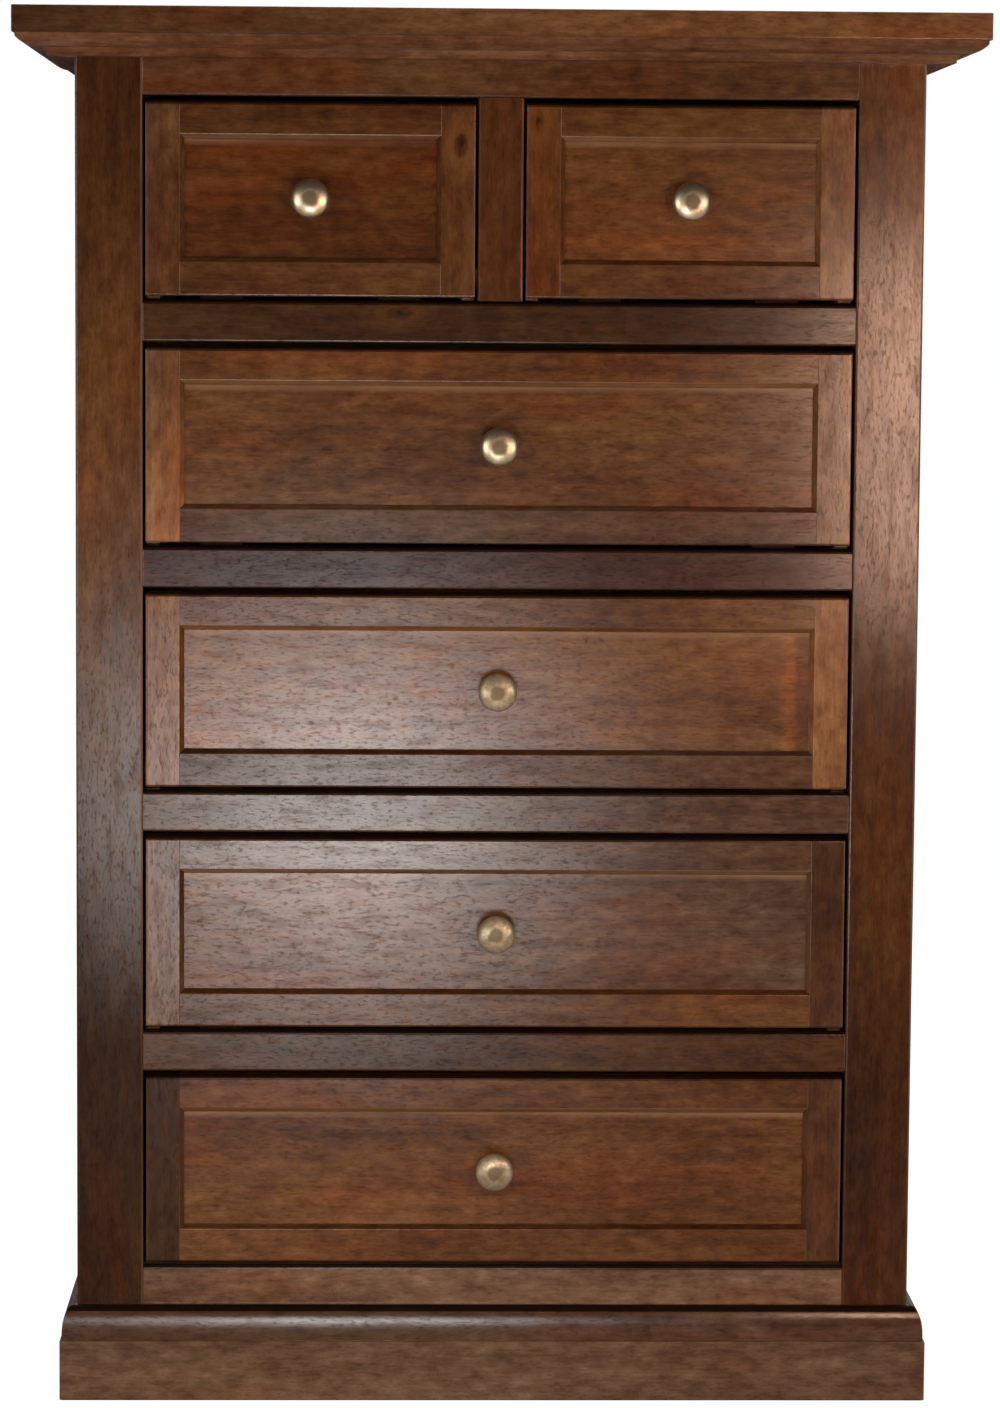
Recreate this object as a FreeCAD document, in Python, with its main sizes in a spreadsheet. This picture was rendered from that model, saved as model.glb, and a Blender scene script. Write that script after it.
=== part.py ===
"""Tallboy chest of drawers: two short drawers over four long ones, in one framed case.

Millimetres, +Z up. The front faces -Y, the back faces +Y. The origin is on the floor, under
the middle of the top board's outline.
"""

import FreeCAD, Part
import Sketcher
import math
import os

V = FreeCAD.Vector
doc = FreeCAD.newDocument("tallboy")

# ------------------------------------------------------------------ driving dimensions

SIZES = [
    # top board and cornice
    ("top_width", 900, "top board, left to right"),
    ("top_depth", 450, "top board, front to back"),
    ("top_thick", 25, "top board thickness"),
    ("top_overhang", 54, "top board past the case, at the front and both sides"),
    ("cornice_height", 19.5, "moulding under the top board"),
    ("cornice_step", 3, "moulding set back from the edge of the top board"),
    ("cornice_lip", 3.5, "flat above the cove"),
    ("cornice_cove", 21, "cove, measured outwards"),
    ("cornice_cove_rise", 8.5, "cove, measured upwards"),
    ("cornice_hollow", 2.6, "how deep the cove is hollowed"),
    ("cornice_foot", 24.5, "projection of the lowest fillet"),
    ("cornice_fillet", 3.5, "height of the lowest fillet"),
    ("cornice_bead", 4, "height of the slope between cove and fillet"),
    # case
    ("post_width", 62.5, "front post, seen from the front"),
    ("post_depth", 50, "front and rear posts, seen from the side"),
    ("rear_post_width", 45, "rear post, seen from behind"),
    ("rail_height", 39.5, "rail between two drawers"),
    ("rail_depth", 45, "front rails, front to back"),
    ("rail_setback", 1, "rails and drawer fronts behind the face of the posts"),
    ("top_rail_height", 53.5, "rail over the short drawers"),
    ("bottom_rail_height", 75, "rail under the lowest drawer"),
    ("bottom_rail_show", 37.5, "the part of the bottom rail above the plinth"),
    ("muntin_width", 42, "upright between the short drawers"),
    ("row_one", 188.5, "height of the opening for the short drawers"),
    ("row_two", 190.5, "height of the second opening"),
    ("row_three", 191, "height of the third opening"),
    ("row_four", 189, "height of the fourth opening"),
    ("row_five", 187, "height of the lowest opening"),
    ("tenon_length", 20, "tenons of rails in posts"),
    ("tenon_thick", 10, "thickness of those tenons"),
    ("tenon_inset", 12, "front rail tenon behind the rail's face"),
    ("tenon_shoulder", 5, "shoulder above and below a front rail tenon"),
    ("stub_length", 10, "tenons of the muntin and of the drawer front rails"),
    # sides and back
    ("side_thick", 22, "side rails, left to right"),
    ("side_setback", 1, "side rails behind the outer face of the posts"),
    ("side_top_rail", 85, "height of the upper side rails"),
    ("side_middle_rail", 75, "height of the middle side rails"),
    ("side_bottom_rail", 120, "height of the lower side rails"),
    ("side_panel_thick", 8, "side panels"),
    ("side_panel_recess", 7, "side panels behind the face of the side rails"),
    ("side_groove", 8, "depth of the grooves that hold the side panels"),
    ("back_thick", 6, "plywood back"),
    ("back_rebate", 12, "width of the rebate for the back in a rear post"),
    ("back_rail_thick", 20, "back rails, front to back"),
    ("back_rail_height", 60, "height of the back rails"),
    # plinth
    ("base_height", 57.5, "plinth boards"),
    ("base_overhang", 16, "thickness of the plinth boards, planted on the case"),
    ("plinth_step", 2, "plinth moulding behind the face of the plinth boards"),
    ("plinth_moulding_height", 32.5, "moulding on top of the plinth boards"),
    ("plinth_fillet", 6, "upright flat at the foot of that moulding"),
    ("plinth_quirk", 3.5, "flat at the top of that moulding"),
    # inside the case
    ("runner_width", 57.5, "drawer runner, from the side rails inwards"),
    ("guide_height", 30, "batten on a runner that guides the drawer side"),
    ("guide_clearance", 1, "air between a drawer side and its guide"),
    ("centre_bearing", 20, "width that each short drawer rests on at the middle"),
    ("stop_width", 40, "drawer stop, left to right"),
    ("stop_depth", 15, "drawer stop, front to back"),
    ("stop_height", 6, "drawer stop"),
    ("stop_inset", 70, "drawer stop in from the end of the drawer front"),
    ("stop_clearance", 0.4, "air between a stop and the closed drawer"),
    ("screw_shank", 4.5, "diameter of the screws that hold the top board"),
    ("screw_head", 9, "diameter of their heads"),
    ("screw_head_height", 3, "height of their heads"),
    ("screw_bite", 15, "length of screw inside the top board"),
    ("screw_cover", 25, "wood left over the screw heads"),
    ("screw_margin", 40, "outer screws in from the ends of a top cleat"),
    # drawers
    ("gap_top", 4, "air over a drawer front"),
    ("gap_bottom", 3, "air under a drawer front"),
    ("gap_side", 3, "air beside a drawer front"),
    ("run_clearance", 0.5, "air between drawer sides and runners"),
    ("front_thick", 20, "drawer front frame"),
    ("front_face", 31.5, "flat face of the frame's stiles and rails"),
    ("front_lip", 4.3, "width of the chamfer round the panel"),
    ("chamfer_depth", 4.5, "depth of the chamfer round the panel"),
    ("panel_recess", 6.5, "panel behind the face of the frame"),
    ("panel_thick", 8, "drawer front panel"),
    ("panel_tongue", 7, "panel edge held in the frame's groove"),
    ("stub_shoulder", 4, "shoulder of a drawer front rail tenon"),
    ("box_rear_gap", 14, "air between a drawer box and the back rails"),
    ("box_top_gap", 12, "air over a drawer side"),
    ("box_thick", 12, "drawer side and back"),
    ("box_groove", 5, "depth of grooves and housings in a drawer side"),
    ("front_groove", 6, "depth of the groove for the bottom in a front"),
    ("box_bottom_thick", 6, "plywood drawer bottom"),
    ("box_bottom_rise", 12, "drawer bottom over the lower edge of the sides"),
    ("back_inset", 10, "drawer side past the drawer back"),
    ("back_drop", 10, "drawer back lower than the sides"),
    ("tail_length", 13, "dovetails of a drawer side in the front"),
    ("tail_margin", 8, "edge of a drawer side to the first dovetail"),
    ("tail_gap", 9, "wood between two dovetails at their wide ends"),
    ("tail_flare", 2.2, "how far a dovetail widens on each edge"),
    # knobs
    ("knob_diameter", 36, "head of a knob"),
    ("knob_projection", 29, "knob from the panel to its face"),
    ("knob_crown", 2.5, "rise of the knob's face"),
    ("knob_back", 13, "panel to the back of the knob's head"),
    ("knob_neck", 13, "diameter of the neck"),
    ("knob_foot", 19, "diameter of the foot"),
    ("knob_foot_height", 3, "thickness of the foot"),
    ("knob_edge", 5.5, "rounding at the front of the head"),
    ("knob_back_edge", 3, "rounding at the back of the head"),
    ("knob_screw", 4, "diameter of the knob screw"),
    ("knob_screw_head", 8, "diameter of the knob screw's head"),
    ("knob_screw_head_height", 2.5, "height of the knob screw's head"),
    ("knob_screw_bite", 14, "length of screw inside a knob"),
]

HANDS = ("left", "right")
TAILS = 3  # dovetails at the front end of each drawer side
CLEAT_SCREWS = 3  # screws through each top cleat

sizes = doc.addObject("Spreadsheet::Sheet", "sizes")
for row, (alias, number, meaning) in enumerate(SIZES, start=1):
    sizes.set(f"A{row}", alias)
    sizes.set(f"B{row}", str(number))
    sizes.set(f"C{row}", meaning)
    sizes.setAlias(f"B{row}", alias)

# ------------------------------------------------------- places worked out from the sizes

ROWS = ["five", "four", "three", "two", "one"]  # from the floor upwards

LAYOUT = [
    ("half_case", "sizes.top_width / 2 - sizes.top_overhang"),
    ("case_front", "sizes.top_overhang - sizes.top_depth / 2"),
    ("case_back", "sizes.top_depth / 2"),
    ("front_plane", "layout.case_front + sizes.rail_setback"),
    ("opening_half", "layout.half_case - sizes.post_width"),
    ("plinth_height", "sizes.base_height + sizes.plinth_moulding_height"),
    ("five_z", "layout.plinth_height + sizes.bottom_rail_show"),
]
for lower, upper in zip(ROWS, ROWS[1:]):
    LAYOUT.append((f"{upper}_z", f"layout.{lower}_z + sizes.row_{lower} + sizes.rail_height"))
for name in ROWS:
    LAYOUT += [
        (f"{name}_front", f"sizes.row_{name} - sizes.gap_top - sizes.gap_bottom"),
        (f"{name}_side", f"sizes.row_{name} - sizes.box_top_gap - sizes.run_clearance"),
    ]
LAYOUT += [
    ("top_rail_z", "layout.one_z + sizes.row_one"),
    ("case_top", "layout.top_rail_z + sizes.top_rail_height"),
    ("bottom_rail_z", "layout.five_z - sizes.bottom_rail_height"),
    ("short_opening", "layout.opening_half - sizes.muntin_width / 2"),
    ("short_centre", "layout.opening_half / 2 + sizes.muntin_width / 4"),
    ("long_front", "2 * layout.opening_half - 2 * sizes.gap_side"),
    ("short_front", "layout.short_opening - 2 * sizes.gap_side"),
    ("post_back", "layout.case_front + sizes.post_depth"),
    ("rear_post_front", "layout.case_back - sizes.post_depth"),
    ("rail_back", "layout.front_plane + sizes.rail_depth"),
    ("box_front", "layout.front_plane + sizes.front_thick"),
    ("back_rail_y", "layout.case_back - sizes.back_thick - sizes.back_rail_thick"),
    ("side_outer", "layout.half_case - sizes.side_setback"),
    ("side_inner", "layout.side_outer - sizes.side_thick"),
    ("side_rail_top_z", "layout.case_top - sizes.side_top_rail"),
    ("side_rail_middle_z", "(layout.bottom_rail_z + layout.case_top - sizes.side_middle_rail) / 2"),
    ("side_rail_low_top", "layout.bottom_rail_z + sizes.side_bottom_rail"),
    ("cornice_top", "sizes.top_overhang - sizes.cornice_step"),
    ("plinth_moulding", "sizes.base_overhang - sizes.plinth_step"),
    ("cleat_length", "layout.rear_post_front - layout.post_back"),
    ("guide_face", "layout.opening_half - sizes.gap_side + sizes.guide_clearance"),
    ("centre_guide", "sizes.muntin_width + 2 * (sizes.gap_side - sizes.guide_clearance)"),
    ("centre_runner", "sizes.muntin_width + 2 * sizes.centre_bearing"),
    ("box_length", "layout.back_rail_y - layout.box_front - sizes.box_rear_gap"),
    ("frame_edge", "sizes.front_face + sizes.front_lip"),
    ("knob_radius", "sizes.knob_diameter / 2"),
    # the radius of each shallow arc, from its chord and its depth
    ("cove_chord", "sqrt(sizes.cornice_cove ^ 2 + sizes.cornice_cove_rise ^ 2)"),
    (
        "cove_radius",
        "(layout.cove_chord ^ 2 / 4 + sizes.cornice_hollow ^ 2) / (2 * sizes.cornice_hollow)",
    ),
    ("round_in", "layout.plinth_moulding - sizes.plinth_quirk"),
    ("round_up", "sizes.plinth_moulding_height - sizes.plinth_fillet"),
    ("round_radius", "(layout.round_in ^ 2 + layout.round_up ^ 2) / (2 * layout.round_in)"),
    (
        "crown_radius",
        "(layout.knob_radius ^ 2 + sizes.knob_crown ^ 2) / (2 * sizes.knob_crown)",
    ),
]

layout = doc.addObject("Spreadsheet::Sheet", "layout")
for row, (alias, formula) in enumerate(LAYOUT, start=1):
    layout.set(f"A{row}", alias)
    layout.setAlias(f"B{row}", alias)
for row, (alias, formula) in enumerate(LAYOUT, start=1):
    layout.set(f"B{row}", "=" + formula.replace("layout.", ""))
doc.recompute()

# --------------------------------------------------------------------- workshop helpers


def value(expression):
    """The number that an expression has in this document now."""
    result = sizes.evalExpression(expression)
    return float(getattr(result, "Value", result))


def place(thing, corner):
    """Bind a thing's position to three expressions."""
    for axis, expression in zip("xyz", corner):
        thing.setExpression(f".Placement.Base.{axis}", expression)
    return thing


def block(name, corner, size):
    """A squared board: its lowest corner and its size, as expressions."""
    board = doc.addObject("Part::Box", name)
    for side, expression in zip(("Length", "Width", "Height"), size):
        board.setExpression(side, expression)
    return place(board, corner)


def rod(name, corner, direction, radius, length):
    """A round bar from a point, along a direction."""
    bar = doc.addObject("Part::Cylinder", name)
    bar.setExpression("Radius", radius)
    bar.setExpression("Height", length)
    bar.Placement = FreeCAD.Placement(V(0, 0, 0), FreeCAD.Rotation(V(0, 0, 1), direction))
    return place(bar, corner)


def joined(name, pieces):
    """Pieces glued into one solid."""
    whole = doc.addObject("Part::MultiFuse", name)
    whole.Shapes = pieces
    whole.Refine = True
    return whole


def group(name, pieces):
    """Separate solids kept under one name."""
    together = doc.addObject("Part::Compound", name)
    together.Links = pieces
    return together


def fitted(name, blank, mates):
    """A blank with the joints cut that its mates need."""
    tool = mates[0] if len(mates) == 1 else group(f"{name}_joints", mates)
    result = doc.addObject("Part::Cut", name)
    result.Base = blank
    result.Tool = tool
    return result


def new_body(name, corner):
    return place(doc.addObject("PartDesign::Body", name), corner)


def origin_plane(body, role):
    return next(item for item in body.Origin.OriginFeatures if item.Role == role)


def arc_between(start, end, radius, side):
    """An arc from start to end. side is 1 with its centre left of the way, -1 right of it."""
    chord = end - start
    middle = (start + end) * 0.5
    reach = math.sqrt(max(radius**2 - (chord.Length / 2) ** 2, 0.0))
    left = V(-chord.y, chord.x, 0).normalize()
    centre = middle + left * (reach * side)
    angles = [math.atan2(point.y - centre.y, point.x - centre.x) for point in (start, end)]
    if side < 0:
        angles.reverse()
    return Part.ArcOfCircle(Part.Circle(centre, V(0, 0, 1), radius), *angles)


def sketch(body, role, loops, arcs=(), offset=None):
    """Closed outlines on an origin plane of a body. Each loop is a list of corners, and each
    corner is two expressions, across and up. arcs are (corner number, radius, side): the
    stretch of the first loop that starts at that corner is an arc. offset moves the sketch
    along its plane's normal."""
    drawing = body.newObject("Sketcher::SketchObject", f"{body.Name}_sketch")
    drawing.AttachmentSupport = [(origin_plane(body, role), "")]
    drawing.MapMode = "FlatFace"
    if offset:
        drawing.setExpression("AttachmentOffset.Base.z", offset)
    curved = {number: (radius, side) for number, radius, side in arcs}
    for loop in loops:
        points = [V(value(across), value(up), 0) for across, up in loop]
        first = drawing.GeometryCount
        starts, ends = [], []
        for number, start in enumerate(points):
            end = points[(number + 1) % len(points)]
            if number in curved:
                radius, side = curved[number]
                drawing.addGeometry(arc_between(start, end, value(radius), side))
                starts.append(1 if side > 0 else 2)
                ends.append(2 if side > 0 else 1)
            else:
                drawing.addGeometry(Part.LineSegment(start, end))
                starts.append(1)
                ends.append(2)
        for number, corner in enumerate(loop):
            before = (number - 1) % len(points)
            this = first + number
            link = ("Coincident", first + before, ends[before], this, starts[number])
            drawing.addConstraint(Sketcher.Constraint(*link))
            for kind, expression in zip(("DistanceX", "DistanceY"), corner):
                gap = (kind, -1, 1, this, starts[number], value(expression))
                index = drawing.addConstraint(Sketcher.Constraint(*gap))
                drawing.setExpression(f"Constraints[{index}]", expression)
            if number in curved:
                radius = curved[number][0]
                bend = ("Radius", this, value(radius))
                index = drawing.addConstraint(Sketcher.Constraint(*bend))
                drawing.setExpression(f"Constraints[{index}]", radius)
        curved = {}
    return drawing


def circle_sketch(body, role, radius):
    """A circle about the origin of a body."""
    drawing = body.newObject("Sketcher::SketchObject", f"{body.Name}_circle")
    drawing.AttachmentSupport = [(origin_plane(body, role), "")]
    drawing.MapMode = "FlatFace"
    drawing.addGeometry(Part.Circle(V(0, 0, 0), V(0, 0, 1), value(radius)))
    drawing.addConstraint(Sketcher.Constraint("Coincident", 0, 3, -1, 1))
    index = drawing.addConstraint(Sketcher.Constraint("Radius", 0, value(radius)))
    drawing.setExpression(f"Constraints[{index}]", radius)
    return drawing


def pad(body, drawing, length, midplane=False, reverse=False):
    feature = body.newObject("PartDesign::Pad", f"{body.Name}_pad")
    feature.Profile = drawing
    feature.setExpression("Length", length)
    feature.Midplane = midplane
    feature.Reversed = reverse
    body.Tip = feature
    return feature


def notch(body, drawing):
    """Cut a sketch right through a body, both ways."""
    feature = body.newObject("PartDesign::Pocket", f"{body.Name}_notch")
    feature.Profile = drawing
    feature.Type = "ThroughAll"
    feature.Midplane = True
    body.Tip = feature
    return feature


def mirror(body, role, features):
    feature = body.newObject("PartDesign::Mirrored", f"{body.Name}_mirror")
    feature.MirrorPlane = (origin_plane(body, role), [""])
    feature.Originals = features
    body.Tip = feature
    return feature


nodes = {}


def keep(thing, label):
    """Give a finished sub-part the label that names its file."""
    thing.Label = label
    nodes[label] = thing
    return thing


# ------------------------------------------------------------------- front of the case


def front_rail(name, low, height):
    """A rail across the front, with a tenon at each end."""
    stock = block(
        f"{name}_stock",
        ("-layout.opening_half", "layout.front_plane", low),
        ("2 * layout.opening_half", "sizes.rail_depth", height),
    )
    tenons = block(
        f"{name}_tenons",
        (
            "-layout.opening_half - sizes.tenon_length",
            "layout.front_plane + sizes.tenon_inset",
            f"{low} + sizes.tenon_shoulder",
        ),
        (
            "2 * (layout.opening_half + sizes.tenon_length)",
            "sizes.tenon_thick",
            f"{height} - 2 * sizes.tenon_shoulder",
        ),
    )
    return joined(f"{name}_blank", [stock, tenons])


def centre_muntin():
    """The upright between the short drawers, with a tenon into the rail at each end."""
    stock = block(
        "muntin_stock",
        ("-sizes.muntin_width / 2", "layout.front_plane", "layout.one_z"),
        ("sizes.muntin_width", "sizes.rail_depth", "sizes.row_one"),
    )
    tenons = block(
        "muntin_tenons",
        (
            "sizes.tenon_shoulder - sizes.muntin_width / 2",
            "layout.front_plane + sizes.tenon_inset",
            "layout.one_z - sizes.stub_length",
        ),
        (
            "sizes.muntin_width - 2 * sizes.tenon_shoulder",
            "sizes.tenon_thick",
            "sizes.row_one + 2 * sizes.stub_length",
        ),
    )
    return joined("muntin", [stock, tenons])


muntin = keep(centre_muntin(), "centre_muntin")

top_rail = front_rail("top_rail", "layout.top_rail_z", "sizes.top_rail_height")
keep(fitted("top_rail_cut", top_rail, [muntin]), "top_rail")

first_rail = front_rail("rail_one", "layout.one_z - sizes.rail_height", "sizes.rail_height")
keep(fitted("rail_one_cut", first_rail, [muntin]), "drawer_rail_1")

for number, name in enumerate(("two", "three", "four"), start=2):
    low = f"layout.{name}_z - sizes.rail_height"
    keep(front_rail(f"rail_{name}", low, "sizes.rail_height"), f"drawer_rail_{number}")

keep(front_rail("rail_low", "layout.bottom_rail_z", "sizes.bottom_rail_height"), "bottom_rail")

FRONT_RAILS = ["top_rail", "drawer_rail_1", "drawer_rail_2", "drawer_rail_3", "drawer_rail_4"]
FRONT_RAILS.append("bottom_rail")

# ------------------------------------------------------------------- sides of the case

SIDE_RAILS = [
    ("top", "layout.side_rail_top_z", "sizes.side_top_rail"),
    ("middle", "layout.side_rail_middle_z", "sizes.side_middle_rail"),
    ("low", "layout.bottom_rail_z", "sizes.side_bottom_rail"),
]
SIDE_PANELS = [
    ("upper", "layout.side_rail_middle_z + sizes.side_middle_rail", "layout.side_rail_top_z"),
    ("lower", "layout.side_rail_low_top", "layout.side_rail_middle_z"),
]


def from_side(hand, outer, width):
    """Lowest x of something whose outer face is at a distance from the middle."""
    return f"-({outer})" if hand == "left" else f"{outer} - ({width})"


def side_rail(hand, name, low, height):
    """A rail between the posts of one side, with a tenon at each end."""
    stock = block(
        f"{hand}_{name}_stock",
        (from_side(hand, "layout.side_outer", "sizes.side_thick"), "layout.post_back", low),
        ("sizes.side_thick", "layout.cleat_length", height),
    )
    cheek = "(sizes.side_thick - sizes.tenon_thick) / 2"
    tenons = block(
        f"{hand}_{name}_tenons",
        (
            from_side(hand, f"layout.side_outer - {cheek}", "sizes.tenon_thick"),
            "layout.post_back - sizes.tenon_length",
            f"{low} + sizes.side_groove",
        ),
        (
            "sizes.tenon_thick",
            "layout.cleat_length + 2 * sizes.tenon_length",
            f"{height} - 2 * sizes.side_groove",
        ),
    )
    return joined(f"{hand}_{name}_rail", [stock, tenons])


def side_panel(hand, name, low, high):
    """A flat panel held in grooves all round."""
    outer = "layout.side_outer - sizes.side_panel_recess"
    return block(
        f"{hand}_{name}_panel",
        (
            from_side(hand, outer, "sizes.side_panel_thick"),
            "layout.post_back - sizes.side_groove",
            f"{low} - sizes.side_groove",
        ),
        (
            "sizes.side_panel_thick",
            "layout.cleat_length + 2 * sizes.side_groove",
            f"{high} - ({low}) + 2 * sizes.side_groove",
        ),
    )


side_mates = {}
all_panels = []
for hand in HANDS:
    panels = [side_panel(hand, *row) for row in SIDE_PANELS]
    rails = [
        fitted(f"{hand}_{row[0]}_rail_cut", side_rail(hand, *row), panels) for row in SIDE_RAILS
    ]
    keep(group(f"{hand}_side_rails", rails), f"side_rails_{hand}")
    side_mates[hand] = rails + panels
    all_panels += panels
keep(group("side_panel_set", all_panels), "side_panels")

# -------------------------------------------------------------------- back of the case

BACK_RAILS = [
    ("low", "layout.bottom_rail_z"),
    ("middle", "layout.one_z - sizes.back_rail_height"),
    ("top", "layout.case_top - sizes.back_rail_height"),
]


def back_rail(name, low):
    """A rail between the rear posts, with a tenon at each end."""
    inner = "(layout.half_case - sizes.rear_post_width)"
    stock = block(
        f"back_{name}_stock",
        (f"-{inner}", "layout.back_rail_y", low),
        (f"2 * {inner}", "sizes.back_rail_thick", "sizes.back_rail_height"),
    )
    tenons = block(
        f"back_{name}_tenons",
        (
            f"-{inner} - sizes.tenon_length",
            "layout.back_rail_y + (sizes.back_rail_thick - sizes.tenon_thick) / 2",
            f"{low} + sizes.tenon_shoulder",
        ),
        (
            f"2 * {inner} + 2 * sizes.tenon_length",
            "sizes.tenon_thick",
            "sizes.back_rail_height - 2 * sizes.tenon_shoulder",
        ),
    )
    return joined(f"back_{name}_rail", [stock, tenons])


back_rails = [back_rail(*row) for row in BACK_RAILS]
keep(group("back_rail_set", back_rails), "back_rails")

back_half = "(layout.half_case - sizes.rear_post_width + sizes.back_rebate)"
back_panel = block(
    "back_board",
    (f"-{back_half}", "layout.case_back - sizes.back_thick", "layout.bottom_rail_z"),
    (f"2 * {back_half}", "sizes.back_thick", "layout.case_top - layout.bottom_rail_z"),
)
keep(back_panel, "back_panel")

# ------------------------------------------------------------------------------- posts

for hand in HANDS:
    front_blank = block(
        f"front_{hand}_blank",
        (from_side(hand, "layout.half_case", "sizes.post_width"), "layout.case_front", "0"),
        ("sizes.post_width", "sizes.post_depth", "layout.case_top"),
    )
    mates = [nodes[name] for name in FRONT_RAILS] + side_mates[hand]
    keep(fitted(f"front_{hand}", front_blank, mates), f"front_post_{hand}")
    rear_blank = block(
        f"rear_{hand}_blank",
        (
            from_side(hand, "layout.half_case", "sizes.rear_post_width"),
            "layout.rear_post_front",
            "0",
        ),
        ("sizes.rear_post_width", "sizes.post_depth", "layout.case_top"),
    )
    mates = back_rails + [back_panel] + side_mates[hand]
    keep(fitted(f"rear_{hand}", rear_blank, mates), f"rear_post_{hand}")

# ---------------------------------------------------------- top board, cleats, screws

cleat_blanks, top_screws = [], []
for hand in HANDS:
    cleat = block(
        f"cleat_{hand}",
        (
            from_side(hand, "layout.side_inner", "sizes.runner_width"),
            "layout.post_back",
            "layout.top_rail_z",
        ),
        ("sizes.runner_width", "layout.cleat_length", "sizes.top_rail_height"),
    )
    middle = "layout.side_inner - sizes.runner_width / 2"
    across = f"-({middle})" if hand == "left" else middle
    screws, holes = [], []
    for number in range(CLEAT_SCREWS):
        share = number / (CLEAT_SCREWS - 1)
        along = (
            "layout.post_back + sizes.screw_margin"
            f" + {share} * (layout.cleat_length - 2 * sizes.screw_margin)"
        )
        seat = "layout.case_top - sizes.screw_cover"
        up = V(0, 0, 1)
        head_place = (across, along, f"{seat} - sizes.screw_head_height")
        head_radius = "sizes.screw_head / 2"
        name = f"{hand}_{number}"
        length = "sizes.screw_cover + sizes.screw_bite"
        shank = rod(f"shank_{name}", (across, along, seat), up, "sizes.screw_shank / 2", length)
        head = rod(f"head_{name}", head_place, up, head_radius, "sizes.screw_head_height")
        screws.append(joined(f"screw_{name}", [shank, head]))
        well_place = (across, along, "layout.top_rail_z")
        well_depth = "sizes.top_rail_height - sizes.screw_cover"
        holes.append(rod(f"well_{name}", well_place, up, head_radius, well_depth))
    cleat_blanks.append(fitted(f"cleat_{hand}_cut", cleat, screws + holes))
    top_screws += screws
keep(group("cleat_set", cleat_blanks), "top_cleats")
keep(group("screw_set", top_screws), "top_screws")

top_blank = block(
    "top_blank",
    ("-sizes.top_width / 2", "-sizes.top_depth / 2", "layout.case_top"),
    ("sizes.top_width", "sizes.top_depth", "sizes.top_thick"),
)
keep(fitted("top_cut", top_blank, top_screws), "top_board")

# ---------------------------------------------------------------- cornice and plinth

# Moulding profiles: outwards from the case, and upwards.
CORNICE_PROFILE = [
    ("0", "0"),
    ("0", "-sizes.cornice_height"),
    ("sizes.cornice_foot", "-sizes.cornice_height"),
    ("sizes.cornice_foot", "sizes.cornice_fillet - sizes.cornice_height"),
    (
        "layout.cornice_top - sizes.cornice_cove - sizes.cornice_fillet / 2",
        "sizes.cornice_fillet + sizes.cornice_bead - sizes.cornice_height",
    ),
    (
        "layout.cornice_top - sizes.cornice_cove",
        "-sizes.cornice_lip - sizes.cornice_cove_rise",
    ),
    ("layout.cornice_top", "-sizes.cornice_lip"),
    ("layout.cornice_top", "0"),
]
CORNICE_COVE = 5  # the stretch that starts at this corner is hollow

PLINTH_PROFILE = [
    ("0", "0"),
    ("layout.plinth_moulding", "0"),
    ("layout.plinth_moulding", "sizes.plinth_fillet"),
    ("sizes.plinth_quirk", "sizes.plinth_moulding_height"),
    ("0", "sizes.plinth_moulding_height"),
]
PLINTH_ROUND = 2  # the stretch that starts at this corner is full

BASE_PROFILE = [
    ("0", "0"),
    ("sizes.base_overhang", "0"),
    ("sizes.base_overhang", "sizes.base_height"),
    ("0", "sizes.base_height"),
]


def moulding_set(name, profile, arcs, reach, level):
    """A moulding mitred round the front and both sides of the case. reach is how far it
    stands out, and level is the height that its profile is drawn from."""
    front = new_body(f"{name}_front", ("0", "layout.case_front", level))
    outline = [(f"-({out})", up) for out, up in profile]
    flipped = [(number, radius, -side) for number, radius, side in arcs]
    drawing = sketch(front, "YZ_Plane", [outline], flipped)
    pad(front, drawing, f"2 * (layout.half_case + {reach})", midplane=True)
    mitres = []
    for sign in ("-", ""):
        mitres.append(
            [
                (f"{sign}layout.half_case", "0"),
                (f"{sign}(layout.half_case + 2 * {reach})", "0"),
                (f"{sign}(layout.half_case + 2 * {reach})", f"-2 * {reach}"),
            ]
        )
    notch(front, sketch(front, "XY_Plane", mitres))

    side = new_body(f"{name}_side", ("0", "layout.case_front", level))
    outline = [(f"layout.half_case + {out}", up) for out, up in profile]
    drawing = sketch(side, "XZ_Plane", [outline], arcs, offset=reach)
    depth = f"layout.case_back - layout.case_front + {reach}"
    run = pad(side, drawing, depth, reverse=True)
    mitre = [
        ("layout.half_case", "0"),
        (f"layout.half_case + 2 * {reach}", f"-2 * {reach}"),
        ("layout.half_case", f"-2 * {reach}"),
    ]
    cut = notch(side, sketch(side, "XY_Plane", [mitre]))
    mirror(side, "YZ_Plane", [run, cut])
    return group(f"{name}_set", [front, side])


cornice_arcs = [(CORNICE_COVE, "layout.cove_radius", -1)]
cornice = moulding_set(
    "cornice", CORNICE_PROFILE, cornice_arcs, "layout.cornice_top", "layout.case_top"
)
keep(cornice, "cornice_moulding")

plinth_arcs = [(PLINTH_ROUND, "layout.round_radius", 1)]
plinth_cap = moulding_set(
    "plinth_cap", PLINTH_PROFILE, plinth_arcs, "layout.plinth_moulding", "sizes.base_height"
)
keep(plinth_cap, "plinth_moulding")
keep(moulding_set("base", BASE_PROFILE, [], "sizes.base_overhang", "0"), "plinth_boards")

# ------------------------------------------------------------------ runners and stops


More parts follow.
